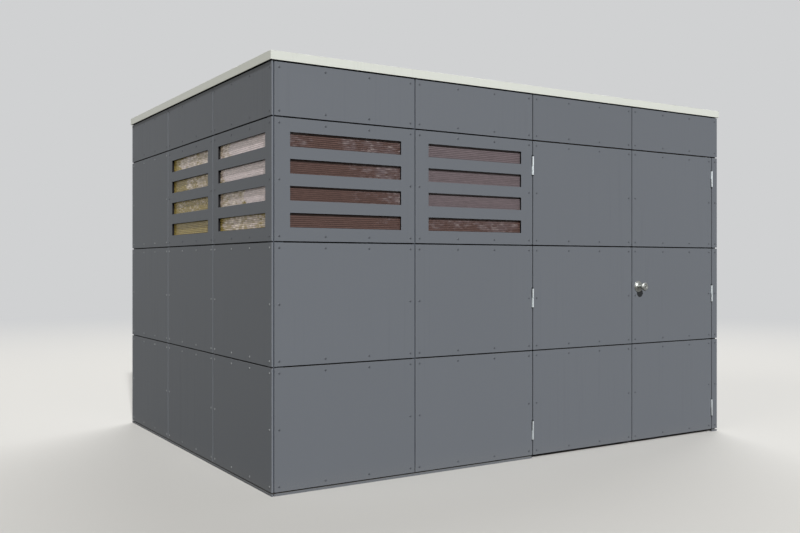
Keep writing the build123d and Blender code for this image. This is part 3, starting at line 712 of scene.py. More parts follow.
def timber_finish(name, stain_depth, stain_fray):
    """Planed softwood with rings and knots, stained black where it lies close behind the boards' joints."""
    finish, tree, shader = new_finish(name)
    shader.inputs["Specular IOR Level"].default_value = 0.3
    grain = use_group(tree, GRAIN, ring_count=13.0, knot_size=0.1, knot_spread=2.4)
    own = maths(tree, "MULTIPLY_ADD", written(tree, "tone").outputs["Fac"], 0.16, 0.92)
    wood = mixed(tree, maths(tree, "MULTIPLY", grain["Rings"], 0.6), PINE_PALE, PINE_RING)
    fibres = maths(tree, "MULTIPLY_ADD", grain["Fibre"], 0.16, 0.92)
    wood = shaded(tree, wood, maths(tree, "MULTIPLY", own, fibres))
    wood = mixed(tree, maths(tree, "MULTIPLY", grain["Knot"], 0.9), wood, PINE_KNOT)
    rim = use_group(tree, EDGE, width=0.004, break_up=0.6)["Mask"]
    wood = shaded(tree, wood, maths(tree, "MULTIPLY_ADD", rim, -0.12, 1.0))
    parts = put(tree, "SeparateXYZ", None, {0: object_place(tree)}).outputs
    beyond = [maths(tree, "SUBTRACT", maths(tree, "ABSOLUTE", parts[axis]), cad_wall[axis] - stain_depth)
              for axis in range(2)]
    brushed = maths(tree, "MULTIPLY_ADD", grain["Fibre"], stain_fray, maths(tree, "MAXIMUM", *beyond))
    stain = mixed(tree, maths(tree, "MULTIPLY", grain["Rings"], 0.3), STAIN_BLACK, PINE_KNOT)
    plug(tree, mixed(tree, ranged(tree, brushed, 0.001, 0.002), wood, stain), shader, "Base Color")
    plug(tree, maths(tree, "MULTIPLY_ADD", grain["Fibre"], 0.25, 0.42), shader, "Roughness")
    height = maths(tree, "MULTIPLY_ADD", grain["Rings"], 0.4, grain["Fibre"])
    plug(tree, bumped(tree, height, 0.3, 0.0006), shader, "Normal")
    return finish


def tarred_finish():
    """Dark impregnated timber on the ground."""
    finish, tree, shader = new_finish("tarred timber")
    shader.inputs["Specular IOR Level"].default_value = 0.2
    grain = use_group(tree, GRAIN, ring_count=9.0, knot_size=0.1, knot_spread=2.0)
    factor = maths(tree, "MULTIPLY_ADD", grain["Fibre"], 0.3, 0.7)
    factor = maths(tree, "MULTIPLY_ADD", grain["Rings"], 0.3, factor)
    dust = use_group(tree, DUST, top_amount=0.3, splash_amount=0.25, splash_height=0.05)["Mask"]
    plug(tree, mixed(tree, dust, shaded(tree, SILL_TAR, factor), DUST_COLOUR), shader, "Base Color")
    plug(tree, maths(tree, "MULTIPLY_ADD", grain["Fibre"], 0.2, 0.65), shader, "Roughness")
    plug(tree, bumped(tree, grain["Fibre"], 0.5, 0.0006), shader, "Normal")
    return finish


def plywood_finish():
    """Rotary-cut plywood: broad wavy figure, patches and scuffs."""
    finish, tree, shader = new_finish("plywood")
    place = object_place(tree)
    own = maths(tree, "MULTIPLY", written(tree, "tone").outputs["Fac"], 9.0)
    offset = put(tree, "CombineXYZ", None, {0: own, 1: own, 2: 0.0}).outputs[0]
    shifted = put(tree, "VectorMath", {"operation": "ADD"}, {0: place, 1: offset}).outputs[0]
    layers = noise(tree, stretched(tree, shifted, (0.5, 3.0, 1.0)), 1.0, 3.0, 0.5, 0.5)
    wave = maths(tree, "SINE", maths(tree, "MULTIPLY", layers, 60.0))
    fibre = noise(tree, stretched(tree, shifted, (6.0, 260.0, 1.0)), 1.0, 3.0, 0.6)
    wood = mixed(tree, maths(tree, "MULTIPLY_ADD", wave, 0.2, 0.25), PLY_PALE, PLY_DARK)
    scuffs = ranged(tree, noise(tree, place, 2.1, 6.0, 0.7), 0.52, 0.75)
    wood = mixed(tree, maths(tree, "MULTIPLY", scuffs, 0.35), wood, PLY_SCUFF)
    factor = maths(tree, "MULTIPLY_ADD", fibre, 0.14, 0.93)
    rim = use_group(tree, EDGE, width=0.005, break_up=0.6)["Mask"]
    factor = maths(tree, "MULTIPLY", factor, maths(tree, "MULTIPLY_ADD", rim, -0.3, 1.0))
    plug(tree, shaded(tree, wood, factor), shader, "Base Color")
    plug(tree, maths(tree, "MULTIPLY_ADD", fibre, 0.2, 0.5), shader, "Roughness")
    plug(tree, bumped(tree, fibre, 0.3, 0.0004), shader, "Normal")
    return finish


def strand_board_finish():
    """Pressed strand board: pale flakes lying in several directions over each other."""
    finish, tree, shader = new_finish("strand board")
    place = object_place(tree)
    colour = STRAND_MEAN
    height = 0.5
    for layer, turn in enumerate((0.2, 1.25, 2.3, 2.9)):
        lie = stretched(tree, place, (14.0, 60.0, 1.0), (0, 0, turn), (layer * 3.7, layer * 1.9, 0))
        flakes = put(tree, "TexVoronoi", None, {"Vector": lie, "Scale": 1.0})
        pick = put(tree, "SeparateColor", None, {0: flakes.outputs["Color"]}).outputs
        flake = mixed(tree, pick[1], STRAND_PALE, STRAND_DARK)
        shows = ranged(tree, pick[0], 0.55, 0.6)
        colour = mixed(tree, shows, colour, flake)
        height = maths(tree, "MULTIPLY_ADD", shows, 0.3, maths(tree, "MULTIPLY", height, 0.8))
    fibre = noise(tree, stretched(tree, place, (60.0, 60.0, 1.0)), 1.0, 4.0, 0.7)
    plug(tree, shaded(tree, colour, maths(tree, "MULTIPLY_ADD", fibre, 0.2, 0.9)), shader, "Base Color")
    plug(tree, maths(tree, "MULTIPLY_ADD", fibre, 0.2, 0.5), shader, "Roughness")
    plug(tree, bumped(tree, height, 0.3, 0.0008), shader, "Normal")
    return finish


def hinge_finish():
    """Bright zinc-plated steel with fine scratches along the barrel."""
    finish, tree, shader = new_finish("zinc plate", metallic=1.0)
    place = object_place(tree)
    scratches = noise(tree, stretched(tree, place, (900.0, 900.0, 30.0)), 1.0, 3.0, 0.6)
    spangle = put(tree, "TexVoronoi", None, {"Vector": place, "Scale": 260.0}).outputs["Color"]
    tone = put(tree, "SeparateColor", None, {0: spangle}).outputs[0]
    factor = maths(tree, "MULTIPLY_ADD", tone, 0.08, maths(tree, "MULTIPLY_ADD", scratches, 0.1, 0.9))
    plug(tree, shaded(tree, ZINC, factor), shader, "Base Color")
    plug(tree, maths(tree, "MULTIPLY_ADD", scratches, 0.25, 0.42), shader, "Roughness")
    plug(tree, bumped(tree, scratches, 0.15, 0.0001), shader, "Normal")
    return finish


def turned_steel_finish(centre):
    """Brushed stainless steel with turning marks round the knob's axis."""
    finish, tree, shader = new_finish("turned stainless", metallic=1.0)
    place = object_place(tree)
    parts = put(tree, "SeparateXYZ", None, {0: stretched(tree, place, (1, 1, 1), move=-centre)}).outputs
    from_axis = maths(tree, "SQRT", maths(tree, "ADD", maths(tree, "POWER", parts[0], 2.0),
                                          maths(tree, "POWER", parts[2], 2.0)))
    ring_place = put(tree, "CombineXYZ", None, {0: from_axis, 1: parts[1], 2: 0.0}).outputs[0]
    marks = noise(tree, ring_place, 2600.0, 2.0, 0.6)
    smears = noise(tree, place, 70.0, 4.0, 0.6)
    factor = maths(tree, "MULTIPLY_ADD", marks, 0.14, maths(tree, "MULTIPLY_ADD", smears, 0.08, 0.87))
    plug(tree, shaded(tree, STAINLESS, factor), shader, "Base Color")
    plug(tree, maths(tree, "MULTIPLY_ADD", smears, 0.16, maths(tree, "MULTIPLY_ADD", marks, 0.14, 0.28)),
         shader, "Roughness")
    plug(tree, bumped(tree, marks, 0.25, 0.00006), shader, "Normal")
    return finish


def keyhole_shade_finish():
    """Painted shade inside the keyhole."""
    finish, tree, shader = new_finish("keyway", 0.6)
    patchy = use_group(tree, PATCHY, patch_size=0.01, patch_spread=0.3, grain_size=0.0004, grain_spread=0.2)
    plug(tree, shaded(tree, KEYHOLE_SHADE, patchy["Factor"]), shader, "Base Color")
    return finish


# Boards and their screws
BOARD_NAMES = {
    "front_fascia_panels": "front_fascia_boards", "front_window_panels": "front_window_boards",
    "front_wall_panels": "front_wall_boards", "corner_strip_panels": "front_corner_strips",
    "left_fascia_panels": "left_fascia_boards", "left_window_panels": "left_window_boards",
    "left_wall_panels": "left_wall_boards", "right_wall_panels": "right_wall_boards",
    "back_wall_panels": "back_wall_boards", "left_leaf_panels": "left_leaf_boards",
    "right_leaf_panels": "right_leaf_boards",
}
LIT_SCREW_WALLS = ("left_wall_panels",)


def outward_of(low, high):
    """The way a board on a wall faces."""
    size = high - low
    middle = (low + high) / 2
    if size.x < size.y:
        return LEFT if middle.x < 0 else RIGHT
    return FRONT if middle.y < 0 else BACK


def spread_between(start, end, count):
    """Evenly spaced values from start to end."""
    return [start + (end - start) * step / (count - 1) for step in range(count)]


def screw_model():
    """A low domed head with a recess, its seat at the origin and its crown on +Z."""
    bpy.ops.mesh.primitive_cylinder_add(vertices=16, radius=SCREW_HEAD_RADIUS, depth=SCREW_HEAD_HEIGHT / 2,
                                        location=(0, 0, SCREW_HEAD_HEIGHT / 4))
    head = bpy.context.object
    head.name = "screw_model"
    settle(head)
    pick_faces(head, lambda middle, normal: normal.z > 0.9)
    work_on(head)
    bpy.ops.object.mode_set(mode="EDIT")
    for rise, shrink in ((0.32, 0.84), (0.15, 0.72), (0.03, 0.62)):
        bpy.ops.mesh.extrude_region_move(TRANSFORM_OT_translate={"value": (0, 0, rise * SCREW_HEAD_HEIGHT)})
        bpy.ops.transform.resize(value=(shrink, shrink, 1), center_override=(0, 0, 0))
    bpy.ops.mesh.extrude_region_move(TRANSFORM_OT_translate={"value": (0, 0, -0.6 * SCREW_HEAD_HEIGHT)})
    bpy.ops.transform.resize(value=(0.75, 0.75, 1), center_override=(0, 0, 0))
    bpy.ops.object.mode_set(mode="OBJECT")
    smooth(head, 35)
    return head


def screw_spots(low, high, facing):
    """The places of a board's screws on its outer face."""
    along = Vector((0, 1, 0)) if facing.x else Vector((1, 0, 0))
    start, end = low.dot(along), high.dot(along)
    depth = (high if facing.x + facing.y > 0 else low).dot(facing) * facing
    rises = [low.z + SCREW_EDGE_INSET, high.z - SCREW_EDGE_INSET]
    middle_rise = (low.z + high.z) / 2
    if end - start < NARROW_BOARD:
        across = end - STRIP_SCREW_INSET
        return [depth + along * across + Vector((0, 0, rise)) for rise in rises + [middle_rise]]
    beside_strip = facing.y < 0 and 0 < cad_wall[0] - end < NARROW_BOARD
    last = cad_wall[0] if beside_strip else end
    columns = spread_between(start + SCREW_EDGE_INSET, last - SCREW_EDGE_INSET, SCREWS_ACROSS)
    columns[-1] = end - SCREW_EDGE_INSET
    spots = [(across, rise) for across in columns for rise in rises]
    if high.z - low.z > LOW_BOARD:
        spots += [(columns[0], middle_rise), (columns[-1], middle_rise)]
    return [depth + along * across + Vector((0, 0, rise)) for across, rise in spots]


def show_core_and_shade(boards, core):
    """Gives the core's finish to the faces inside the boards' slots, and as painted shade to the cut faces
    that look down, while upright and upward cut faces keep the board's grey.
    """
    mesh = boards.data
    mesh.materials.append(core)
    reach = {}
    for solid in solids_of(mesh):
        reach.update(dict.fromkeys(solid, reach_of(mesh, solid)))
    for face in mesh.polygons:
        low, high = reach[face.vertices[0]]
        facing = outward_of(low, high)
        along = 1 if facing.x else 0
        inside = all(low[axis] + SLOT_MARGIN < face.center[axis] < high[axis] - SLOT_MARGIN
                     for axis in (along, 2))
        # Down-facing cut faces get the dark finish as painted shade; those inside the slots show the dark
        # core
        if abs(face.normal.dot(facing)) < 0.5 and (inside or face.normal.z < -0.5):
            face.material_index = 1


def clad():
    """Finishes the boards and screws each one to the frame."""
    board, core = board_finish(), core_and_shade_finish()
    enamel, pale = screw_finish("screw enamel", SCREW_GREY_AND_SHADE), screw_finish("pale screw enamel", SCREW_LIT_PALE)
    model = screw_model()
    draw = random.Random(5)
    for node, name in BOARD_NAMES.items():
        boards = eased_copy(node, name, 0.4 * MM)
        heads = []
        for solid in solids_of(boards.data):
            low, high = reach_of(boards.data, solid)
            facing = outward_of(low, high)
            upright = facing.to_track_quat("Z", "Y").to_matrix().to_4x4()
            for spot in screw_spots(low, high, facing):
                turn = Matrix.Rotation(draw.uniform(0, math.tau), 4, "Z")
                heads.append(copy_at(model, Matrix.Translation(spot) @ upright @ turn))
        measure_solids(boards)
        fitted(boards, board, body_of_node(node), [node])
        show_core_and_shade(boards, core)
        screws = joined(heads, name.replace("boards", "screws").replace("strips", "strip_screws"))
        # The left wall's screws get the pale copy of the same enamel, a painted highlight
        fitted(screws, pale if node in LIT_SCREW_WALLS else enamel, body_of_node(node))
    edging = eased_copy("base_trim", "ground_edging", 0.8 * MM)
    measure_solids(edging)
    fitted(edging, board, "root", ["base_trim"])
    discard(model)


# Windows
def ribbed_skin(name, low, high, facing):
    """One twin-wall sheet: a slab whose faces swell a little between its webs."""
    rise = high.z - low.z
    webs = int(rise / WEB_PITCH)
    along = (high - low).y if facing.x else (high - low).x
    depth = (high - low).x if facing.x else (high - low).y
    bpy.ops.mesh.primitive_cube_add(size=1, location=(0, 0, WEB_PITCH / 2))
    cell = bpy.context.object
    cell.name = name
    cell.scale = (along, depth - 2 * PILLOW, WEB_PITCH)
    settle(cell)
    with editing(cell):
        for share in (0.2, 0.5, 0.8):
            bpy.ops.mesh.select_all(action="SELECT")
            bpy.ops.mesh.bisect(plane_co=(0, 0, share * WEB_PITCH), plane_no=(0, 0, 1))
    pick_faces(cell, lambda middle, normal: abs(normal.z) > 0.9)
    with editing_kept(cell):
        bpy.ops.mesh.delete(type="FACE")
    for share in (0.2, 0.5, 0.8):
        swell = depth / (depth - 2 * PILLOW) if share == 0.5 else 1 + 1.2 * PILLOW / (depth - 2 * PILLOW)
        pick_points(cell, lambda place: abs(place.z - share * WEB_PITCH) < 0.1 * MM)
        with editing_kept(cell):
            bpy.ops.transform.resize(value=(1, swell, 1), center_override=(0, 0, 0))
    apply_modifier(cell, "ARRAY", count=webs, use_relative_offset=False, use_constant_offset=True,
                   constant_offset_displace=(0, 0, rise / webs), use_merge_vertices=True,
                   merge_threshold=0.1 * MM)
    with editing(cell):
        bpy.ops.mesh.remove_doubles(threshold=0.1 * MM)
        bpy.ops.mesh.select_all(action="DESELECT")
        bpy.ops.mesh.select_mode(type="EDGE")
        bpy.ops.mesh.select_non_manifold()
        bpy.ops.mesh.fill_holes(sides=0)
        bpy.ops.mesh.select_all(action="SELECT")
        bpy.ops.mesh.normals_make_consistent(inside=False)
    smooth(cell, 30)
    middle = (low + high) / 2
    cell.rotation_euler.z = math.radians(90) if facing.x else 0.0
    cell.location = (middle.x, middle.y, low.z)
    settle(cell)
    return cell


def glaze():
    """Ribbed sheets in place of the plain ones, and the gaskets' rubber."""
    plain = merged_copy("window_glazing", "plain_sheets")
    front, side = [], []
    for solid in solids_of(plain.data):
        low, high = reach_of(plain.data, solid)
        facing = outward_of(low, high)
        sheet = ribbed_skin("window_sheet", low, high, facing)
        (side if facing.x else front).append(sheet)
    discard(plain)
    # The left sheets are the same sheet as the front ones; their golden colours, pale patches and glints are
    # painted reflection
    bronze = sheet_finish("bronze sheet", (BRONZE_DARK, BRONZE_REFLECTED_HAZE, BRONZE_PAINTED_GLINT), web_depth=0.7,
                          dash_length=0.035, dash_depth=0.5, gloss=0.0, axis=0, patches=FRONT_REFLECTION_PATCHES)
    gold_reflection = sheet_finish("golden sheet", (GOLD_REFLECTED_DARK, GOLD_REFLECTED_HAZE, GOLD_PAINTED_GLINT), web_depth=0.5,
                        dash_length=0.05, dash_depth=0.7, gloss=0.95, axis=1, patches=LEFT_REFLECTION_PATCHES)
    fitted(joined(front, "front_window_sheets"), bronze, "root", ["window_glazing"])
    fitted(joined(side, "left_window_sheets"), gold_reflection, "root", ["window_glazing"])
    rubber = rubber_finish("gasket rubber", RUBBER_BLACK, 0.1)
    for node in ("window_gaskets", "left_leaf_tape", "right_leaf_tape"):
        for place in frame["nodes"][node].material_slots:
            place.material = rubber
    tape = merged_copy("joint_tape", "joint_tapes")
    fitted(tape, rubber, "root", ["joint_tape"])
    # The tape in upright joints is a lighter grey, painted light where light reaches into them; the rest
    # keeps the black rubber, which also paints the shade in the level joints
    tape.data.materials.append(rubber_finish("post tape", TAPE_LIT_GREY, 0.1))
    shown = part_tape(tape)
    for face in tape.data.polygons:
        face.material_index = 1 if any(lies_in(face.center, *box) for box in shown) else 0


def lies_in(place, low, high):
    """Whether a place is in a box, or within a hair of it."""
    return all(low[axis] - 0.1 * MM < place[axis] < high[axis] + 0.1 * MM for axis in range(3))


def part_tape(tape):
    """Cuts the studs' tape beside the joints, and gives the boxes of all that shows in upright joints, where
    the tape is painted lighter as lit.
    """
    door_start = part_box("door_post")[0].x - MM
    shown = []
    for low, high in [reach_of(tape.data, solid) for solid in solids_of(tape.data)]:
        facing = outward_of(low, high)
        at_door = facing is FRONT and low.x > door_start
        if (high - low).z < POST_TAPE_HEIGHT or at_door:
            continue
        along = 1 if facing.x else 0
        if high[along] - low[along] > STUD_TAPE_WIDTH:
            middle = (low[along] + high[along]) / 2
            plane = Vector((0, 1, 0)) if along else Vector((1, 0, 0))
            whole = low.copy(), high.copy()
            low[along], high[along] = middle - TAPE_SEEN / 2, middle + TAPE_SEEN / 2
            for cut in (low, high):
                pick_faces(tape, lambda centre, normal: lies_in(centre, *whole))
                with editing_kept(tape):
                    bpy.ops.mesh.bisect(plane_co=cut, plane_no=plane)
        shown.append((low, high))
    return shown


# Timber
TIMBER_NODES = (
    "sill_beams", "door_threshold", "floor_joists", "corner_posts", "door_post", "wall_studs",
    "front_wall_rails", "left_wall_rails", "right_wall_rails", "back_wall_rails", "door_header", "door_stops",
    "top_plates", "roof_kerb", "roof_rafters", "glazing_beads", "left_leaf_stiles", "left_leaf_rails",
    "right_leaf_stiles", "right_leaf_rails",
)
TARRED_NODES = ("sill_beams", "door_threshold", "door_stops")
JAMB_NODES = ("corner_posts", "door_post", "left_leaf_stiles", "right_leaf_stiles")


def plane_timbers():
    """Timbers with eased edges and grain along each one."""
    softwood = timber_finish("planed softwood", STAIN_DEPTH, STAIN_FRAY)
    jamb = timber_finish("stained jamb", JAMB_STAIN_DEPTH, JAMB_STAIN_FRAY)
    tarred = tarred_finish()
    for node in TIMBER_NODES:
        timbers = eased_copy(node, node + "_planed", 1.5 * MM)
        measure_solids(timbers)
        finish = tarred if node in TARRED_NODES else jamb if node in JAMB_NODES else softwood
        fitted(timbers, finish, body_of_node(node), [node])


def lay_floor():
    """The floor as plywood sheets with fine gaps between them."""
    low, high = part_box("floor_deck")
    columns, rows = 3, 2
    width = (high.x - low.x) / columns
    depth = (high.y - low.y) / rows
    sheets = []
    for column in range(columns):
        for row in range(rows):
            middle = Vector((low.x + (column + 0.5) * width, low.y + (row + 0.5) * depth,
                             (low.z + high.z) / 2))
            bpy.ops.mesh.primitive_cube_add(size=1, location=middle)
            sheet = bpy.context.object
            sheet.scale = (width - FLOOR_SHEET_GAP, depth - FLOOR_SHEET_GAP, high.z - low.z)
            settle(sheet)
            apply_modifier(sheet, "BEVEL", width=1.2 * MM, segments=2)
            sheets.append(sheet)
    floor = joined(sheets, "floor_sheets")
    measure_solids(floor)
    fitted(floor, plywood_finish(), "root", ["floor_deck"])


# Roof
def cover_roof():
    """Roof boards, the rubber sheet with its lapped seams, and the metal edge."""
    deck = eased_copy("roof_deck", "roof_boards", 1.0 * MM)
    fitted(deck, strand_board_finish(), "root", ["roof_deck"])
    covering = roof_sheet_finish()
    skin = eased_copy("roof_membrane", "roof_covering", 0.6 * MM)
    fitted(skin, covering, "root", ["roof_membrane"])
    field = max((reach_of(skin.data, solid) for solid in solids_of(skin.data)),
                key=lambda reach: (reach[1] - reach[0]).x * (reach[1] - reach[0]).y)
    low, high = field
    fall = math.atan2(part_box("roof_deck")[1].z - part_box("roof_deck")[0].z - 18 * MM, high.y - low.y)
    seams = []
    for share in (1 / 3, 2 / 3):
        bpy.ops.mesh.primitive_cube_add(size=1)
        seam = bpy.context.object
        seam.scale = (SEAM_WIDTH, (high.y - low.y - 30 * MM) / math.cos(fall), SEAM_THICKNESS)
        seam.rotation_euler.x = -fall
        seam.location = (low.x + (high.x - low.x) * share, (low.y + high.y) / 2,
                         (low.z + high.z) / 2 + MM + SEAM_THICKNESS / 2)
        settle(seam)
        apply_modifier(seam, "BEVEL", width=0.5 * MM, segments=2)
        seams.append(seam)
    fitted(joined(seams, "roof_seams"), covering, "root")
    edge = eased_copy("roof_trim", "roof_edge", 0.9 * MM, 3)
    smooth(edge, 25)
    even_shading(edge)
    fitted(edge, trim_finish(), "root", ["roof_trim"])


# Hinges
def plate_screw_model():
    """A flat countersunk head with a cross recess, its face on +Z at the origin."""
    bpy.ops.mesh.primitive_cylinder_add(vertices=16, radius=PLATE_SCREW_RADIUS, depth=0.6 * MM)
    head = bpy.context.object
    head.name = "plate_screw_model"
    pick_faces(head, lambda middle, normal: normal.z > 0.9)
    with editing_kept(head):
        bpy.ops.mesh.inset(thickness=0.5 * MM)
        bpy.ops.mesh.inset(thickness=1.2 * MM)
        bpy.ops.mesh.extrude_region_move(TRANSFORM_OT_translate={"value": (0, 0, -0.4 * MM)})
    settle(head)
    return head


def hang_hinges():
    """Finer hinge halves, with the screws through their plates."""
    zinc = hinge_finish()
    model = plate_screw_model()
    for node, name in (("post_hinge_halves", "post_hinges"), ("left_leaf_hinges", "left_leaf_knuckles"),
                       ("right_leaf_hinges", "right_leaf_knuckles")):
        halves = merged_copy(node, name)
        heads = []
        for solid in solids_of(halves.data):
            low, high = reach_of(halves.data, solid)
            heads += plate_screws(model, low, high)
        slim_barrels(halves)
        apply_modifier(halves, "BEVEL", width=0.35 * MM, segments=2, limit_method="ANGLE",
                       angle_limit=math.radians(50))
        smooth(halves, 30)
        halves = joined([halves] + heads, name)
        even_shading(halves)
        fitted(halves, zinc, body_of_node(node), [node])
    discard(model)


def slim_barrels(halves):
    """Narrows the barrels and pins about their own axes to the width that shows in the joint."""
    for joint in HINGES:
        axis = Vector(joint["pos_m"][:2])
        pick_points(halves, lambda place: (place.xy - axis).length < BARREL_REACH)
        if any(vertex.select for vertex in halves.data.vertices):
            with editing_kept(halves):
                bpy.ops.transform.resize(value=(BARREL_SHARE, BARREL_SHARE, 1), center_override=(*axis, 0))


def plate_screws(model, low, high):
    """Two screws on the free face of one hinge plate, which stands off further from the hinge's axis."""
    middle = (low.x + high.x) / 2
    axis = min((joint["pos_m"][0] for joint in HINGES), key=lambda place: abs(place - middle))
    side = 1 if high.x - axis > axis - low.x else -1
    face = (high.x if side > 0 else low.x) - side * PLATE_THICKNESS
    inward = Matrix.Rotation(-side * math.radians(90), 4, "Y")
    spots = (low.z + (high.z - low.z) * share for share in (0.25, 0.75))
    return [copy_at(model, Matrix.Translation((face, high.y - PLATE_SCREW_SETBACK, rise)) @ inward)
            for rise in spots]


# Knob
def turned_piece(name, profile, bore, centre, facing, sides=72):
    """A turned piece: a circle of the first radius, pushed on and resized ring by ring."""
    radius, reach = profile[0]
    bpy.ops.mesh.primitive_circle_add(vertices=sides, radius=radius, fill_type="NOTHING" if bore else "NGON",
                                      location=(0, 0, reach))
    piece = bpy.context.object
    piece.name = name
    settle(piece)
    with editing(piece):
        bpy.ops.mesh.select_mode(type="EDGE" if bore else "FACE")
        bpy.ops.mesh.select_all(action="SELECT")
        for next_radius, next_reach in profile[1:]:
            bpy.ops.mesh.extrude_region_move(TRANSFORM_OT_translate={"value": (0, 0, next_reach - reach)})
            share = next_radius / radius
            bpy.ops.transform.resize(value=(share, share, 1), center_override=(0, 0, next_reach))
            radius, reach = next_radius, next_reach
        bpy.ops.mesh.select_all(action="SELECT")
        bpy.ops.mesh.remove_doubles(threshold=0.01 * MM)
        bpy.ops.mesh.normals_make_consistent(inside=False)
    apply_modifier(piece, "BEVEL", width=0.7 * MM, segments=3, limit_method="ANGLE",
                   angle_limit=math.radians(25))
    smooth(piece, 35)
    even_shading(piece)
    upright = facing.to_track_quat("Z", "Y").to_matrix().to_4x4()
    piece.matrix_world = Matrix.Translation(centre) @ upright
    settle(piece)
    return piece


def cut_key_way(grip, face):
    """Sinks a narrow keyhole into the knob's face and paints shade on its inside."""
    bpy.ops.mesh.primitive_cube_add(size=1, location=face)
    cutter = bpy.context.object
    cutter.scale = (KEY_WIDTH, 2 * KEY_DEPTH, KEY_LENGTH)
    settle(cutter)
    apply_modifier(cutter, "BEVEL", width=0.4 * MM, segments=2)
    apply_modifier(grip, "BOOLEAN", object=cutter, operation="DIFFERENCE", solver="EXACT")
    discard(cutter)
    grip.data.materials.append(keyhole_shade_finish())
    for patch in grip.data.polygons:
        apart = patch.center - face
        in_width, in_length = abs(apart.x) < KEY_WIDTH * 0.51, abs(apart.z) < KEY_LENGTH * 0.51
        if in_width and in_length and apart.y > 0.2 * MM:
            patch.material_index = 1


def fit_knob():
    """The stepped rosettes, the conical knobs with their ringed faces, the lock and the spindle."""
    low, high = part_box("knob_spindle")
    centre = (low + high) / 2
    steel = turned_steel_finish(centre)
    outer_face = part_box("right_leaf_panels")[0].y
    inner_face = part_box("right_leaf_stiles")[1].y
    rosette = [(13.0, 0), (37.5, 0), (37.5, 2.6), (36.2, 4.0), (28.0, 4.0), (27.0, 4.6), (22.0, 9.4),
               (20.6, 10.0), (13.0, 10.0), (13.0, 0)]
    cone = [(12.5, 1.0), (12.5, 23.0), (13.1, 25.6), (27.5, 56.6), (28.4, 58.6), (28.2, 59.8), (26.6, 63.0),
            (22.8, 65.7), (21.6, 66.0), (17.2, 66.0), (16.4, 65.0), (15.2, 64.8), (14.6, 65.6), (9.0, 65.6)]
    plug_face = [(8.7, 65.2), (8.4, 65.2), (8.2, 66.0)]
    turn_button = [(6.2, 65.6), (6.0, 66.0), (6.0, 70.2), (5.2, 71.0)]
    sides = ((FRONT, outer_face, "outer", plug_face), (BACK, inner_face, "inner", turn_button))
    rosettes = []
    for facing, depth, side, middle in sides:
        place = Vector((centre.x, depth, centre.z))
        ring = [(radius * MM, reach * MM) for radius, reach in rosette]
        rosettes.append(turned_piece(f"{side}_rosette", ring, True, place, facing))
        turned = [(radius * MM, reach * MM) for radius, reach in cone + middle]
        grip = turned_piece(f"{side}_grip", turned, False, place, facing)
        fitted(grip, steel, "knob", [f"{side}_knob"])
        if side == "outer":
            cut_key_way(grip, Vector((centre.x, depth - KNOB_REACH, centre.z)))
    fitted(joined(rosettes, "rosettes"), steel, "right_leaf", ["knob_rosettes"])
    for slot in frame["nodes"]["knob_spindle"].material_slots:
        slot.material = steel


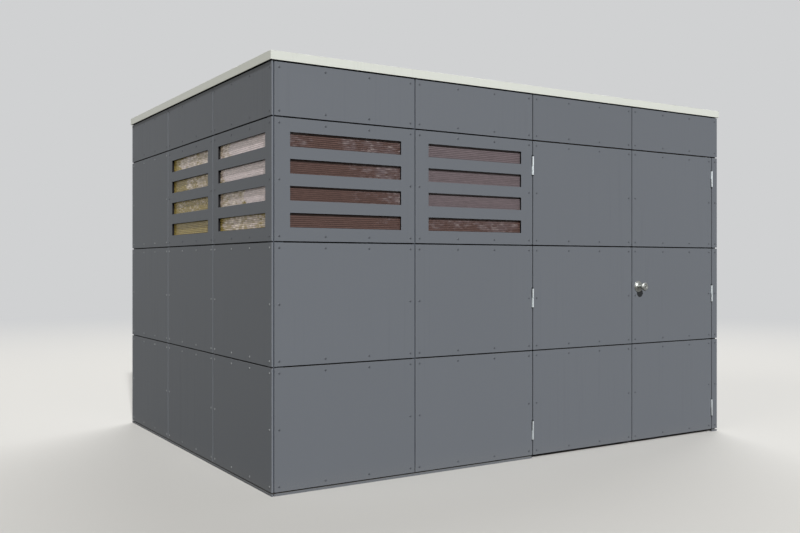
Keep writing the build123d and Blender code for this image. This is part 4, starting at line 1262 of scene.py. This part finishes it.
# Stage, lamps and camera
def set_stage():
    """A pale floor that fades into a pale background, one soft sun, a weak fill and even light all round."""
    bpy.ops.mesh.primitive_circle_add(vertices=96, radius=40, fill_type="NGON", location=(0, 0, 0))
    ground = bpy.context.object
    ground.name = "studio_floor"
    finish, tree, shader = new_finish("studio floor", 0.9)
    shader.inputs["Specular IOR Level"].default_value = 0.1
    rays = put(tree, "LightPath").outputs
    seen_or_mirrored = mixed(tree, rays["Is Glossy Ray"], FLOOR_SEEN, FLOOR_MIRRORED)
    plug(tree, mixed(tree, rays["Is Diffuse Ray"], seen_or_mirrored, FLOOR_BOUNCE), shader, "Base Color")
    from_middle = put(tree, "VectorMath", {"operation": "LENGTH"}, {0: object_place(tree)}).outputs["Value"]
    far = ranged(tree, from_middle, 4.5, 16.0)
    pale = put(tree, "Emission", None, {"Color": BACKGROUND, "Strength": 1.0}).outputs[0]
    seen = maths(tree, "MULTIPLY", far, rays["Is Camera Ray"])
    fade = put(tree, "MixShader", None, {0: seen, 1: shader.outputs[0], 2: pale}).outputs[0]
    tree.links.new(fade, tree.nodes["Material Output"].inputs["Surface"])
    ground.data.materials.append(finish)

    world = bpy.data.worlds.new("studio")
    world.use_nodes = True
    tree = world.node_tree
    tree.nodes.clear()
    rays = put(tree, "LightPath").outputs
    direct = maths(tree, "MAXIMUM", rays["Is Camera Ray"],
                   maths(tree, "MAXIMUM", rays["Is Glossy Ray"], rays["Is Transmission Ray"]))
    light = put(tree, "Background", None, {"Color": (1.0, 0.98, 0.95, 1.0), "Strength": AMBIENT}).outputs[0]
    pale = put(tree, "Background", None, {"Color": BACKGROUND, "Strength": 1.0}).outputs[0]
    sky = put(tree, "MixShader", None, {0: direct, 1: light, 2: pale}).outputs[0]
    end = put(tree, "OutputWorld")
    tree.links.new(sky, end.inputs["Surface"])
    bpy.context.scene.world = world

    add_sun("sun", SUN_STRENGTH, SUN_SOFTNESS, SUN_TRAVEL)
    add_sun("fill", FILL_STRENGTH, FILL_SOFTNESS, FILL_TRAVEL)
    add_sun("side_fill", SIDE_STRENGTH, FILL_SOFTNESS, SIDE_TRAVEL, SIDE_COLOUR)


def add_sun(name, strength, softness, travel, colour=(1.0, 1.0, 1.0)):
    """A lamp whose light travels in one direction."""
    lamp = bpy.data.lights.new(name, "SUN")
    lamp.energy = strength
    lamp.color = colour
    lamp.angle = math.radians(softness)
    holder = bpy.data.objects.new(name, lamp)
    holder.rotation_mode = "QUATERNION"
    holder.rotation_quaternion = Vector(travel).to_track_quat("-Z", "Y")
    bpy.context.scene.collection.objects.link(holder)


def set_camera():
    """The photograph's viewpoint: a standing person's eye in front of the left corner."""
    lens = bpy.data.cameras.new("camera")
    lens.lens = 40.38
    lens.sensor_width = 36.0
    lens.shift_y = -0.0027
    lens.clip_end = 200
    camera = bpy.data.objects.new("camera", lens)
    camera.location = (-3.666, -5.607, 1.210)
    camera.rotation_euler = (math.radians(90), 0, math.radians(-32.08))
    bpy.context.scene.collection.objects.link(camera)
    bpy.context.scene.camera = camera


BACKGROUND = painted(208, 209, 210)
FLOOR_SEEN = painted(200, 199, 196)
FLOOR_BOUNCE = painted(108, 107, 102)
FLOOR_MIRRORED = painted(112, 111, 106)
AMBIENT = 0.1
SUN_STRENGTH = 3.9
SUN_SOFTNESS = 2.5
SUN_TRAVEL = (0.215, 0.787, -0.578)
FILL_STRENGTH = 2.2
FILL_SOFTNESS = 50.0
FILL_TRAVEL = (-0.55, -0.6, -0.58)
SIDE_STRENGTH = 0.8
SIDE_COLOUR = (1.0, 0.95, 0.85)
SIDE_TRAVEL = (0.94, 0.03, -0.34)

set_camera()
set_stage()
clad()
glaze()
plane_timbers()
lay_floor()
cover_roof()
hang_hinges()
fit_knob()

bpy.context.scene.view_settings.view_transform = "Standard"
